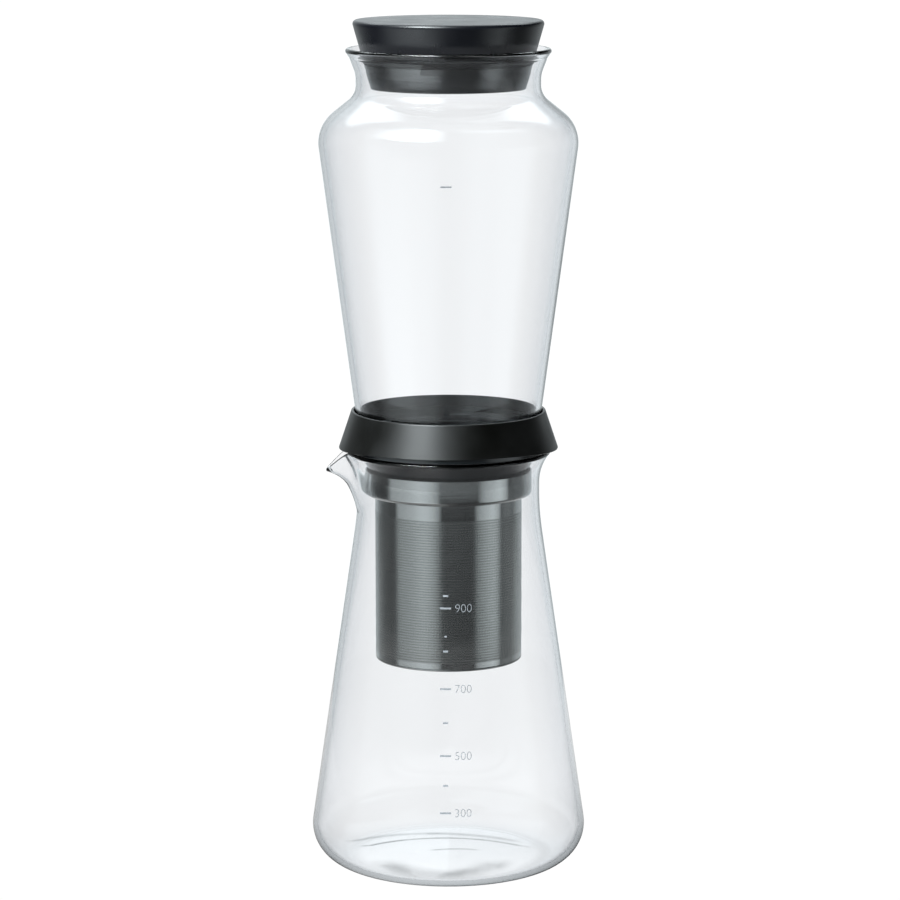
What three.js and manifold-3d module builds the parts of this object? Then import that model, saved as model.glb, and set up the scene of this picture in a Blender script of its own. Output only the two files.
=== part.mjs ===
// A slow-drip cold brew coffee maker: a glass carafe, a steel strainer that hangs in its neck from a
// black dripper ring, a glass water bowl that stands in the ring, and a conical stopper lid.
// Millimetres, +Z up. The origin is the centre of the carafe's foot, and the spout points to -X.
import * as THREE from "three";
import { mergeVertices } from "three/addons/utils/BufferGeometryUtils.js";
import Module from "manifold-3d";

// Fits
const SEAT_GAP = 0.3; // left between two pieces that rest on or in each other
const SLIP_GAP = 0.5; // left round a piece that lifts out of another
const CUT_OVERRUN = 2; // how far a cutter passes the faces that it cuts

// Facets
const SIDES = 36; // round pieces
const CARAFE_SIDES = 48; // they crowd towards the spout
const SMALL_SIDES = 16; // pieces about the size of a fingertip
const HOLE_SIDES = 8;
const ARC_SAG = 0.2; // how far a facet of a rounded corner may lie inside its arc
const ARC_ROOM_SHARE = 0.95; // the most of a side's free length that a rounded corner takes

// Glass, the same wall in both vessels
const GLASS_WALL = 2.2;

// Carafe
const CARAFE_SKIRT_RADIUS = 61.25; // where the cone's side would meet the table
const CARAFE_EDGE_HEIGHT = 177.9; // up to where the rim's rounding starts
const CARAFE_HEEL = 16.1;
const FOOT_RING_RADIUS = 40.5;
const PUNT_HEIGHT = 2.2; // the middle of the base is pushed up by this
const WAIST_RADIUS = 38.6;
const WAIST_LENGTH = 19; // from the cone's corner to the flare's corner
const WAIST_ROUND = 120;
const FLARE_HEIGHT = 5.9;
const FLARE_ROUND = 22;
const FLARE_REACH = 4.5; // from the waist's radius out to the rim's

// Spout, drawn out of the rim
const SPOUT_REACH = 8.6;
const SPOUT_DROP = 8.5;
const SPOUT_DEPTH = 25.5; // how far below the rim the wall starts to swell
const SPOUT_REACH_POWER = 1.1;
const SPOUT_DROP_POWER = 2;
const SPOUT_TIP_ANGLE = THREE.MathUtils.degToRad(8);
const SPOUT_ROOT_ANGLE = THREE.MathUtils.degToRad(16);
const SPOUT_CROWDING = 0.55; // 0 spaces the sides evenly, 1 would pile them up at the tip
const SPOUT_ROW_HEIGHT = 6; // tallest facet in the spout

// Water bowl
const BOWL_FOOT_RADIUS = 38.6; // where the heel runs into the side
const BOWL_HEEL = 5;
const BOWL_SHOULDER_RADIUS = 55.4; // the corner that the shoulder rounds off
const BOWL_SHOULDER_HEIGHT = 131.2; // these heights are from the bowl's base
const BOWL_SHOULDER_ROUND = 16;
const BOWL_NECK_RADIUS = 38.65;
const BOWL_SHOULDER_RISE = 13.4;
const BOWL_NECK_ROUND = 9;
const BOWL_NECK_LENGTH = 8.2;
const BOWL_MOUTH_ROUND = 12;
const BOWL_MOUTH_FLARE = 2.65; // from the neck's radius out to the mouth's
const BOWL_MOUTH_HEIGHT = 7;
const BOWL_LIP_FLARE = 1.5; // from the mouth's radius out to the lip's
const BOWL_LIP_HEIGHT = 2.2;
const BOWL_LIP_ROUND = 2;
const DRIP_HOLE_RADIUS = 4.2;

// Drip nozzle, a soft grommet in the bowl's base
const NOZZLE_CAP_MARGIN = 2.8; // how far the cap passes the drip hole
const NOZZLE_CAP_HEIGHT = 1.4;
const NOZZLE_BARB_MARGIN = 1;
const NOZZLE_BARB_HEIGHT = 1.5;
const NOZZLE_TIP_WALL = 0.8;
const NOZZLE_TIP_HEIGHT = 3;
const NOZZLE_BORE_RADIUS = 0.6;

// Dripper frame, the stiff ring that carries the bowl and the strainer
const CARAFE_SEAL_HEIGHT = 1;
const CARAFE_SEAL_WIDTH = 2;
const CARAFE_SEAL_BITE = 0.7; // how deep it sits in the flange
const FLANGE_THICKNESS = 2.1;
const FLANGE_MARGIN = 0.5; // how far the flange passes the carafe's rim
const MOUTH_CLEARANCE = 2.9; // between the taper's top and the inside of the carafe's mouth
const TAPER_HEIGHT = 12.7;
const SPIGOT_WALL = 1.2; // under the seal's groove
const SPIGOT_LAND = 0.5; // above the groove
const SPIGOT_TAIL = 1.7; // below the groove
const LEDGE_REACH = 0.8; // how far the ledge under the bowl passes the spigot's bore
const CUP_WALL = 1.8;
const CUP_DEPTH = 8.7;
const BOWL_GASKET_HEIGHT = 1.6;
const BOWL_GASKET_WIDTH = 4.2;
const STRAINER_SEAL_HEIGHT = 2;
const STRAINER_SEAL_BITE = 1; // how deep it sits in the spigot
const STRAINER_SEAL_REACH = 3.2; // how far it stands out of the spigot

// Collar sleeve, the soft skirt round the frame
const SLEEVE_OVERHANG = 1.8; // beyond the flange, at the widest
const SLEEVE_DROP = 0.5; // how far its two ends hang below the flange
const SLEEVE_RISE = 2.4; // how much higher its edge is in front and at the back
const SLEEVE_RISE_POWER = 4; // how soon the edge rises next to the ends
const SLEEVE_LIP_WALL = 1.1;
const SLEEVE_LIP_HEIGHT = 4.9; // above the cup

// Strainer
const STEEL_SHEET = 0.6;
const NECK_CLEARANCE = 1.1; // between the band and the inside of the carafe's waist
const BAND_LAP = 4.1; // how far the band's top stands above the taper's foot
const BAND_ROUND = 1.7;
const BAND_STEP = 4.2; // how far the basket is narrower than the band
const BAND_SKIRT = 7.6; // the part of the band that the basket is welded round
const MESH_SHEET = 0.5;
const BASKET_HEIGHT = 69.9;
const FOOT_BEAD = 0.7;
const FOOT_SKIRT = 4.6;
const FOOT_FLANGE = 4;

// Spreader plate, a shallow dish on the strainer's step
const PLATE_SHEET = 0.8;
const PLATE_DISH_DEPTH = 1.8;
const PLATE_HOLE_RADIUS = 1.2;
const PLATE_HOLE_RINGS = [6, 12];

// Stopper lid
const LID_NECK_CLEARANCE = 4.15; // between the lid's lower edge and the bowl's neck
const LID_FLARE = 8.1; // how much wider the lid's cone is at the top
const LID_ABOVE_RIM = 11.7;
const LID_EDGE_ROUND = 1.6;
const LID_HEIGHT = 28.5;
const LID_TOP_THICKNESS = 2.2;
const LID_WALL = 2;
const LID_PLUG_HEIGHT = 11; // the cone below the gasket
const LID_GASKET_HEIGHT = 3;
const LID_TONGUE_HEIGHT = 3; // what the plug's tongue reaches up inside the cap
const LID_FIN_THICKNESS = 1.1;
const LID_GASKET_WALL = 1.4;

// Finishes
const FINISHES = {
  glass: { color: 0xf4f8f8, roughness: 0.02, metalness: 0, transparent: true, opacity: 0.35 },
  blackPlastic: { color: 0x1d1f21, roughness: 0.5, metalness: 0 },
  softSleeve: { color: 0x161718, roughness: 0.62, metalness: 0 },
  silicone: { color: 0x2b2d2f, roughness: 0.7, metalness: 0 },
  steel: { color: 0xb9bcbc, roughness: 0.22, metalness: 1 },
  mesh: { color: 0x8d908e, roughness: 0.35, metalness: 1 },
};

const wasm = await Module();
wasm.setup();

/** A corner of an outline in the r-z plane. Its round is the radius of the fillet there. */
function corner(r, z, round = 0) {
  return { r, z, round };
}

/** How many facets keep an arc within ARC_SAG. */
function arcSteps(radius, turn) {
  const step = 2 * Math.acos(1 - Math.min(1, ARC_SAG / radius));
  return Math.max(1, Math.ceil(turn / step));
}

/** The points of an outline whose corners are rounded. */
function outline(corners, closed = false) {
  const points = [];
  const count = corners.length;
  corners.forEach((here, i) => {
    const at = new THREE.Vector2(here.r, here.z);
    const inside = closed || (i > 0 && i < count - 1);
    if (!here.round || !inside) {
      points.push(at);
      return;
    }
    const before = corners[(i + count - 1) % count];
    const after = corners[(i + 1) % count];
    const back = new THREE.Vector2(before.r, before.z).sub(at);
    const on = new THREE.Vector2(after.r, after.z).sub(at);
    const roomBack = before.round ? back.length() / 2 : back.length();
    const roomOn = after.round ? on.length() / 2 : on.length();
    const half = back.angleTo(on) / 2;
    const reach = Math.min(here.round / Math.tan(half), ARC_ROOM_SHARE * Math.min(roomBack, roomOn));
    const radius = reach * Math.tan(half);
    const turn = Math.PI - 2 * half;
    const steps = arcSteps(radius, turn);
    back.normalize();
    on.normalize();
    const centre = back.clone().add(on).normalize().multiplyScalar(radius / Math.sin(half)).add(at);
    const start = back.clone().multiplyScalar(reach).add(at);
    const sense = Math.sign(-back.x * on.y + back.y * on.x);
    for (let k = 0; k <= steps; k++) {
      points.push(start.clone().rotateAround(centre, (sense * turn * k) / steps));
    }
  });
  return points;
}

/** A line of points moved sideways, towards its left-hand side. A point on the axis stays there. */
function inset(points, distance) {
  return points.map((point, i) => {
    const before = points[Math.max(0, i - 1)];
    const after = points[Math.min(points.length - 1, i + 1)];
    const into = point.clone().sub(before).normalize();
    const out = after.clone().sub(point).normalize();
    const along = into.clone().add(out).normalize();
    const mitre = Math.max(along.dot(into), along.dot(out));
    const side = new THREE.Vector2(-along.y, along.x);
    const moved = side.multiplyScalar(distance / mitre).add(point);
    return point.x === 0 ? new THREE.Vector2(0, point.y + distance) : moved;
  });
}

/** The half circle of a fire-polished rim, from the end of the outer line to the end of the inner one. */
function polishedRim(outer, inner) {
  const centre = outer.clone().add(inner).divideScalar(2);
  const steps = arcSteps(outer.distanceTo(centre), Math.PI);
  const points = [];
  for (let k = 1; k < steps; k++) {
    points.push(outer.clone().rotateAround(centre, (Math.PI * k) / steps));
  }
  return points;
}

/** The closed profile of a blown vessel: its outer line, the rim, and the inner line one wall away. */
function vesselProfile(outer, wall) {
  const inner = inset(outer, wall);
  const rim = polishedRim(outer.at(-1), inner.at(-1));
  return [...outer, ...rim, ...inner.reverse()];
}

/** The line's points, with more of them above a height, so that no row there is taller than a step. */
function withRows(points, above, step) {
  const rows = [points[0]];
  for (const point of points.slice(1)) {
    const from = rows.at(-1);
    const rise = Math.abs(point.y - from.y);
    const parts = Math.max(point.y, from.y) > above ? Math.ceil(rise / step) : 1;
    for (let k = 1; k < parts; k++) {
      rows.push(from.clone().lerp(point, k / parts));
    }
    rows.push(point);
  }
  return rows;
}

/** The outer radius of a line at a height. */
function radiusAt(points, height) {
  let widest = 0;
  for (let i = 1; i < points.length; i++) {
    const [low, high] = [points[i - 1], points[i]].sort((a, b) => a.y - b.y);
    if (low.y <= height && height <= high.y && high.y > low.y) {
      const share = (height - low.y) / (high.y - low.y);
      widest = Math.max(widest, THREE.MathUtils.lerp(low.x, high.x, share));
    }
  }
  return widest;
}

/** A profile in the r-z plane turned about the Z axis. */
function revolve(profile, sides = SIDES) {
  const area = profile.reduce((sum, point, i) => {
    const next = profile[(i + 1) % profile.length];
    return sum + point.x * next.y - next.x * point.y;
  }, 0);
  const points = area > 0 ? [...profile] : [...profile].reverse();
  const open = points[0].x === 0 && points.at(-1).x === 0;
  if (!open) {
    points.push(points[0].clone());
  }
  return new THREE.LatheGeometry(points, sides).rotateX(Math.PI / 2);
}

/** A ring of square section between two radii and two heights. */
function band(inner, outer, base, top) {
  return revolve(outline([corner(inner, base), corner(outer, base), corner(outer, top), corner(inner, top)]));
}

/** A manifold solid of a closed geometry. */
function solid(geometry) {
  const bare = geometry.clone();
  bare.deleteAttribute("normal");
  bare.deleteAttribute("uv");
  const merged = mergeVertices(bare);
  return new wasm.Manifold(
    new wasm.Mesh({
      numProp: 3,
      vertProperties: merged.attributes.position.array,
      triVerts: new Uint32Array(merged.index.array),
    }),
  );
}

/** The geometry of a manifold solid. */
function geometryOf(made) {
  const mesh = made.getMesh();
  const geometry = new THREE.BufferGeometry();
  geometry.setAttribute("position", new THREE.BufferAttribute(mesh.vertProperties, 3));
  geometry.setIndex(new THREE.BufferAttribute(mesh.triVerts, 1));
  geometry.computeVertexNormals();
  return geometry;
}

/** A named mesh. */
function piece(name, geometry, finish) {
  const mesh = new THREE.Mesh(geometry, new THREE.MeshStandardMaterial(FINISHES[finish]));
  mesh.name = name;
  return mesh;
}

// Carafe: the cone from the heel to the waist, the waist, and the flare to the rim
const flareCorner = CARAFE_EDGE_HEIGHT - FLARE_HEIGHT;
const carafeRimRadius = WAIST_RADIUS + FLARE_REACH;
const carafeOuter = outline([
  corner(0, PUNT_HEIGHT),
  corner(FOOT_RING_RADIUS, 0),
  corner(CARAFE_SKIRT_RADIUS, 0, CARAFE_HEEL),
  corner(WAIST_RADIUS, flareCorner - WAIST_LENGTH, WAIST_ROUND),
  corner(WAIST_RADIUS, flareCorner, FLARE_ROUND),
  corner(carafeRimRadius, CARAFE_EDGE_HEIGHT),
]);
const spoutRoot = CARAFE_EDGE_HEIGHT - SPOUT_DEPTH;
const carafeProfile = vesselProfile(withRows(carafeOuter, spoutRoot, SPOUT_ROW_HEIGHT), GLASS_WALL);
const carafeTop = Math.max(...carafeProfile.map((point) => point.y));
const carafeRimPoint = carafeProfile.find((point) => point.y === carafeTop);
const mouthRadius = inset(carafeOuter, GLASS_WALL).at(-1).x;

/** How strongly the spout pulls, from 0 to 1, at an angle from its middle and a share of its rise. */
function spoutPull(angle, rise) {
  const width = THREE.MathUtils.lerp(SPOUT_ROOT_ANGLE, SPOUT_TIP_ANGLE, rise);
  return Math.exp(-((angle / width) ** 2));
}

function makeCarafe() {
  const geometry = revolve(carafeProfile, CARAFE_SIDES);
  const position = geometry.attributes.position;
  for (let i = 0; i < position.count; i++) {
    const radius = Math.hypot(position.getX(i), position.getY(i));
    const height = position.getZ(i);
    const even = Math.atan2(-position.getY(i), -position.getX(i)); // 0 is the spout's middle
    const angle = even - SPOUT_CROWDING * Math.sin(even);
    const rise = THREE.MathUtils.clamp((height - spoutRoot) / SPOUT_DEPTH, 0, 1);
    const pull = spoutPull(angle, rise);
    const reach = radius + SPOUT_REACH * pull * rise ** SPOUT_REACH_POWER;
    const drop = SPOUT_DROP * pull * rise ** SPOUT_DROP_POWER;
    position.setXYZ(i, -reach * Math.cos(angle), -reach * Math.sin(angle), height - drop);
  }
  geometry.computeVertexNormals();
  return piece("carafe", geometry, "glass");
}

// Dripper frame and its seals, stacked up from the carafe's rim
const sealBase = carafeTop + SEAT_GAP;
const flangeBase = sealBase + CARAFE_SEAL_HEIGHT - CARAFE_SEAL_BITE;
const sealInner = carafeRimPoint.x - CARAFE_SEAL_WIDTH / 2;
const sealOuter = sealInner + CARAFE_SEAL_WIDTH;
const ledgeTop = flangeBase + FLANGE_THICKNESS;
const gasketBase = ledgeTop + SEAT_GAP;
const bowlBase = gasketBase + BOWL_GASKET_HEIGHT + SEAT_GAP;
const cupRadius = BOWL_FOOT_RADIUS + SLIP_GAP + SEAT_GAP;
const cupOuter = cupRadius + CUP_WALL;
const cupTop = ledgeTop + CUP_DEPTH;
const flangeRadius = Math.max(carafeRimRadius, cupOuter) + FLANGE_MARGIN + SLIP_GAP + SEAT_GAP;
const taperRadius = mouthRadius - MOUTH_CLEARANCE;
const spigotTop = flangeBase - TAPER_HEIGHT;
const strainerSealTop = spigotTop - SPIGOT_LAND - SEAT_GAP;
const strainerSealBase = strainerSealTop - STRAINER_SEAL_HEIGHT;
const spigotBottom = strainerSealBase - SEAT_GAP - SPIGOT_TAIL;
const bandRadius = WAIST_RADIUS - GLASS_WALL - NECK_CLEARANCE;
const bandBore = bandRadius - STEEL_SHEET;
const spigotRadius = bandBore - SEAT_GAP - STRAINER_SEAL_REACH;
const grooveRadius = spigotRadius - STRAINER_SEAL_BITE;
const spigotBore = grooveRadius - SPIGOT_WALL;
const ledgeRadius = spigotBore - LEDGE_REACH;

// Strainer: a wide band round the spigot, the etched basket that hangs from its step, and the base
const plateBase = spigotBottom - SLIP_GAP - PLATE_SHEET;
const stepTop = plateBase - SEAT_GAP;
const bandBottom = stepTop - STEEL_SHEET;
const bandTop = spigotTop + BAND_LAP;
const basketRadius = bandRadius - BAND_STEP;
const basketBore = basketRadius - MESH_SHEET;
const basketTop = bandBottom - SEAT_GAP;
const basketBottom = basketTop - BASKET_HEIGHT;
const skirtRadius = basketBore - SEAT_GAP;
const skirtBore = skirtRadius - STEEL_SHEET;

function makeCarafeSeal() {
  const ring = band(sealInner, sealOuter, sealBase, sealBase + CARAFE_SEAL_HEIGHT);
  return piece("carafe_seal", ring, "silicone");
}

function makeDripperFrame() {
  const taperWall = spigotRadius - spigotBore;
  const sealGroove = sealBase + CARAFE_SEAL_HEIGHT + SEAT_GAP;
  const profile = outline([
    corner(spigotBore, spigotBottom),
    corner(spigotRadius, spigotBottom),
    corner(spigotRadius, strainerSealBase - SEAT_GAP),
    corner(grooveRadius, strainerSealBase - SEAT_GAP),
    corner(grooveRadius, strainerSealTop + SEAT_GAP),
    corner(spigotRadius, strainerSealTop + SEAT_GAP),
    corner(spigotRadius, spigotTop),
    corner(taperRadius, flangeBase),
    corner(sealInner - SEAT_GAP, flangeBase),
    corner(sealInner - SEAT_GAP, sealGroove),
    corner(sealOuter + SEAT_GAP, sealGroove),
    corner(sealOuter + SEAT_GAP, flangeBase),
    corner(flangeRadius, flangeBase),
    corner(flangeRadius, ledgeTop),
    corner(cupOuter, ledgeTop),
    corner(cupOuter, cupTop),
    corner(cupRadius, cupTop),
    corner(cupRadius, ledgeTop),
    corner(ledgeRadius, ledgeTop),
    corner(ledgeRadius, flangeBase),
    corner(taperRadius - taperWall, flangeBase),
    corner(spigotBore, spigotTop),
  ]);
  return piece("dripper_frame", revolve(profile), "blackPlastic");
}

function makeStrainerSeal() {
  const ring = band(grooveRadius + SEAT_GAP, bandBore - SEAT_GAP, strainerSealBase, strainerSealTop);
  return piece("strainer_seal", ring, "silicone");
}

function makeBowlGasket() {
  const inner = ledgeRadius + SLIP_GAP;
  const ring = band(inner, inner + BOWL_GASKET_WIDTH, gasketBase, gasketBase + BOWL_GASKET_HEIGHT);
  return piece("bowl_gasket", ring, "silicone");
}

// Water bowl
const bowlShoulder = bowlBase + BOWL_SHOULDER_HEIGHT;
const bowlNeck = bowlShoulder + BOWL_SHOULDER_RISE;
const bowlMouth = bowlNeck + BOWL_NECK_LENGTH;
const bowlLip = bowlMouth + BOWL_MOUTH_HEIGHT;
const mouthEdge = BOWL_NECK_RADIUS + BOWL_MOUTH_FLARE;
const sideLean = (BOWL_SHOULDER_RADIUS - BOWL_FOOT_RADIUS) / (BOWL_SHOULDER_HEIGHT - BOWL_HEEL);
const bowlOuter = outline([
  corner(DRIP_HOLE_RADIUS, bowlBase),
  corner(BOWL_FOOT_RADIUS - sideLean * BOWL_HEEL, bowlBase, BOWL_HEEL),
  corner(BOWL_SHOULDER_RADIUS, bowlShoulder, BOWL_SHOULDER_ROUND),
  corner(BOWL_NECK_RADIUS, bowlNeck, BOWL_NECK_ROUND),
  corner(BOWL_NECK_RADIUS, bowlMouth, BOWL_MOUTH_ROUND),
  corner(mouthEdge, bowlLip, BOWL_LIP_ROUND),
  corner(mouthEdge + BOWL_LIP_FLARE, bowlLip + BOWL_LIP_HEIGHT),
]);
const bowlProfile = vesselProfile(bowlOuter, GLASS_WALL);
const bowlTop = Math.max(...bowlProfile.map((point) => point.y));
const bowlInner = inset(bowlOuter, GLASS_WALL);

function makeWaterBowl() {
  return piece("water_bowl", revolve(bowlProfile), "glass");
}

function makeDripNozzle() {
  const stem = DRIP_HOLE_RADIUS - SEAT_GAP;
  const floor = bowlBase + GLASS_WALL + SEAT_GAP;
  const barbTop = bowlBase - SEAT_GAP;
  const barbBottom = barbTop - NOZZLE_BARB_HEIGHT;
  const tip = barbBottom - NOZZLE_TIP_HEIGHT;
  const capTop = floor + NOZZLE_CAP_HEIGHT;
  const capRadius = DRIP_HOLE_RADIUS + NOZZLE_CAP_MARGIN;
  const profile = outline([
    corner(NOZZLE_BORE_RADIUS, tip),
    corner(NOZZLE_BORE_RADIUS + NOZZLE_TIP_WALL, tip),
    corner(stem, barbBottom),
    corner(DRIP_HOLE_RADIUS + NOZZLE_BARB_MARGIN, barbTop),
    corner(stem, barbTop),
    corner(stem, floor),
    corner(capRadius, floor),
    corner(capRadius, capTop, NOZZLE_CAP_HEIGHT / 2),
    corner(NOZZLE_BORE_RADIUS, capTop),
  ]);
  return piece("drip_nozzle", revolve(profile, SMALL_SIDES), "silicone");
}

function makeCollarSleeve() {
  const bore = flangeRadius + SEAT_GAP;
  const step = ledgeTop + SEAT_GAP;
  const cupBore = cupOuter + SEAT_GAP;
  const cupLid = cupTop + SEAT_GAP;
  const lip = cupTop + SLEEVE_LIP_HEIGHT;
  const lipBore = radiusAt(bowlOuter, lip) + SLIP_GAP;
  const glassBore = radiusAt(bowlOuter, cupLid) + SLIP_GAP;
  const widest = flangeRadius + SLEEVE_OVERHANG + SEAT_GAP;
  const edge = flangeBase - SLEEVE_DROP;
  const lipRadius = lipBore + SLEEVE_LIP_WALL;
  const coneRadius = (height) => widest - ((widest - lipRadius) * (height - edge)) / (lip - edge);
  const profile = outline(
    [
      corner(bore, edge),
      corner(widest, edge),
      corner(lipRadius, lip),
      corner(lipBore, lip),
      corner(glassBore, cupLid),
      corner(cupBore, cupLid),
      corner(cupBore, step),
      corner(bore, step),
    ],
    true,
  );
  const geometry = revolve(profile);
  const position = geometry.attributes.position;
  for (let i = 0; i < position.count; i++) {
    const height = position.getZ(i);
    const radius = Math.hypot(position.getX(i), position.getY(i));
    if (height >= step || radius < bore - SEAT_GAP) {
      continue;
    }
    const sideways = Math.abs(position.getX(i)) / radius; // 1 at the two ends
    const squeeze = (SLEEVE_RISE * (1 - sideways ** SLEEVE_RISE_POWER)) / (step - edge);
    const raised = height + (step - height) * squeeze;
    const narrowed = (coneRadius(raised) - bore) / (coneRadius(height) - bore);
    const scale = (bore + (radius - bore) * narrowed) / radius;
    position.setXYZ(i, position.getX(i) * scale, position.getY(i) * scale, raised);
  }
  geometry.computeVertexNormals();
  return piece("collar_sleeve", geometry, "softSleeve");
}

function makeStrainerBand() {
  const profile = outline(
    [
      corner(skirtBore, bandBottom - BAND_SKIRT),
      corner(skirtRadius, bandBottom - BAND_SKIRT),
      corner(skirtRadius, bandBottom),
      corner(bandRadius, bandBottom, BAND_ROUND),
      corner(bandRadius, bandTop),
      corner(bandBore, bandTop),
      corner(bandBore, stepTop, BAND_ROUND - STEEL_SHEET),
      corner(skirtBore, stepTop),
    ],
    true,
  );
  return piece("strainer_band", revolve(profile), "steel");
}

function makeStrainerBasket() {
  return piece("strainer_basket", band(basketBore, basketRadius, basketBottom, basketTop), "mesh");
}

const footBottom = basketBottom - SEAT_GAP - FOOT_BEAD;
const footFloor = footBottom + STEEL_SHEET;
const footBore = skirtRadius - FOOT_FLANGE;

function makeStrainerFoot() {
  const beadTop = basketBottom - SEAT_GAP;
  const profile = outline(
    [
      corner(footBore, footBottom),
      corner(basketRadius, footBottom, FOOT_BEAD / 2),
      corner(basketRadius, beadTop),
      corner(skirtRadius, beadTop),
      corner(skirtRadius, basketBottom + FOOT_SKIRT),
      corner(skirtBore, basketBottom + FOOT_SKIRT),
      corner(skirtBore, footFloor),
      corner(footBore, footFloor),
    ],
    true,
  );
  return piece("strainer_foot", revolve(profile), "steel");
}

function makeStrainerFloor() {
  const base = footFloor + SEAT_GAP;
  const radius = skirtBore - SEAT_GAP;
  const profile = outline([
    corner(0, base),
    corner(radius, base),
    corner(radius, base + MESH_SHEET),
    corner(0, base + MESH_SHEET),
  ]);
  return piece("strainer_floor", revolve(profile), "mesh");
}

function makeSpreaderPlate() {
  const radius = bandBore - SLIP_GAP;
  const dishRadius = skirtBore - SLIP_GAP;
  const floor = plateBase - PLATE_DISH_DEPTH;
  const dish = outline([
    corner(0, floor),
    corner(dishRadius - PLATE_DISH_DEPTH, floor),
    corner(dishRadius, plateBase),
    corner(radius, plateBase),
    corner(radius, plateBase + PLATE_SHEET),
    corner(dishRadius - PLATE_SHEET, plateBase + PLATE_SHEET),
    corner(dishRadius - PLATE_SHEET - PLATE_DISH_DEPTH, floor + PLATE_SHEET),
    corner(0, floor + PLATE_SHEET),
  ]);
  const cutterHeight = PLATE_SHEET + 2 * CUT_OVERRUN;
  const cutter = new THREE.CylinderGeometry(PLATE_HOLE_RADIUS, PLATE_HOLE_RADIUS, cutterHeight, HOLE_SIDES);
  cutter.rotateX(Math.PI / 2).translate(0, 0, floor + PLATE_SHEET / 2);
  let plate = solid(revolve(dish)).subtract(solid(cutter));
  const holeField = dishRadius - PLATE_DISH_DEPTH;
  PLATE_HOLE_RINGS.forEach((count, ring) => {
    const ringRadius = (holeField * (ring + 1)) / (PLATE_HOLE_RINGS.length + 1);
    for (let k = 0; k < count; k++) {
      const angle = (2 * Math.PI * k) / count;
      const hole = cutter.clone().translate(ringRadius * Math.cos(angle), ringRadius * Math.sin(angle), 0);
      plate = plate.subtract(solid(hole));
    }
  });
  return piece("spreader_plate", geometryOf(plate), "steel");
}

// Lid: a cap and a plug, snapped together round the gasket. All three lie on one cone
const lidTop = bowlTop + LID_ABOVE_RIM;
const lidBottom = lidTop - LID_HEIGHT;
const lidBottomRadius = BOWL_NECK_RADIUS - GLASS_WALL - LID_NECK_CLEARANCE;
const gasketFloor = lidBottom + LID_PLUG_HEIGHT;
const capBottom = gasketFloor + LID_GASKET_HEIGHT;

/** The radius of the lid's cone at a height. */
function lidRadius(height) {
  return lidBottomRadius + (LID_FLARE * (height - lidBottom)) / LID_HEIGHT;
}

const tongueRadius = lidRadius(capBottom) - LID_WALL - SEAT_GAP;

function makeLidCap() {
  const ceiling = lidTop - LID_TOP_THICKNESS;
  const profile = outline([
    corner(0, lidTop),
    corner(lidRadius(lidTop), lidTop, LID_EDGE_ROUND),
    corner(lidRadius(capBottom), capBottom),
    corner(lidRadius(capBottom) - LID_WALL, capBottom),
    corner(lidRadius(ceiling) - LID_WALL, ceiling),
    corner(0, ceiling),
  ]);
  return piece("lid_cap", revolve(profile), "blackPlastic");
}

function makeLidPlug() {
  const floor = lidBottom + LID_WALL;
  const ledge = gasketFloor - SEAT_GAP;
  const tongueTop = capBottom + LID_TONGUE_HEIGHT;
  const profile = outline([
    corner(0, lidBottom),
    corner(lidBottomRadius, lidBottom, LID_EDGE_ROUND / 2),
    corner(lidRadius(ledge), ledge),
    corner(tongueRadius, ledge),
    corner(tongueRadius, tongueTop),
    corner(tongueRadius - LID_WALL, tongueTop),
    corner(tongueRadius - LID_WALL, floor),
    corner(0, floor),
  ]);
  return piece("lid_plug", revolve(profile), "blackPlastic");
}

function makeLidGasket() {
  const bore = tongueRadius + SEAT_GAP;
  const wall = bore + LID_GASKET_WALL;
  const top = capBottom - SEAT_GAP;
  const fin = top - LID_FIN_THICKNESS;
  const reach = radiusAt(bowlInner, fin) - SLIP_GAP;
  const profile = outline([
    corner(bore, gasketFloor),
    corner(wall, gasketFloor),
    corner(wall, fin - LID_FIN_THICKNESS),
    corner(reach, fin),
    corner(wall, top),
    corner(bore, top),
  ]);
  return piece("lid_gasket", revolve(profile), "silicone");
}

const coffeeMaker = new THREE.Group();
coffeeMaker.add(
  makeCarafe(),
  makeCarafeSeal(),
  makeDripperFrame(),
  makeCollarSleeve(),
  makeBowlGasket(),
  makeWaterBowl(),
  makeDripNozzle(),
  makeStrainerSeal(),
  makeStrainerBand(),
  makeStrainerBasket(),
  makeStrainerFoot(),
  makeStrainerFloor(),
  makeSpreaderPlate(),
  makeLidCap(),
  makeLidPlug(),
  makeLidGasket(),
);

export default coffeeMaker;
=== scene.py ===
"""Looks of a slow-drip cold brew coffee maker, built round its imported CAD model.

Sizes in the classes are millimetres, and meshes are metres. Every round piece is turned from an
outline, as its mould or former would be, and stands where the CAD node that it replaces stands.
"""

import logging
import math
from collections.abc import Callable, Iterator
from contextlib import contextmanager
from dataclasses import Field, dataclass, field
from enum import Enum

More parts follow.
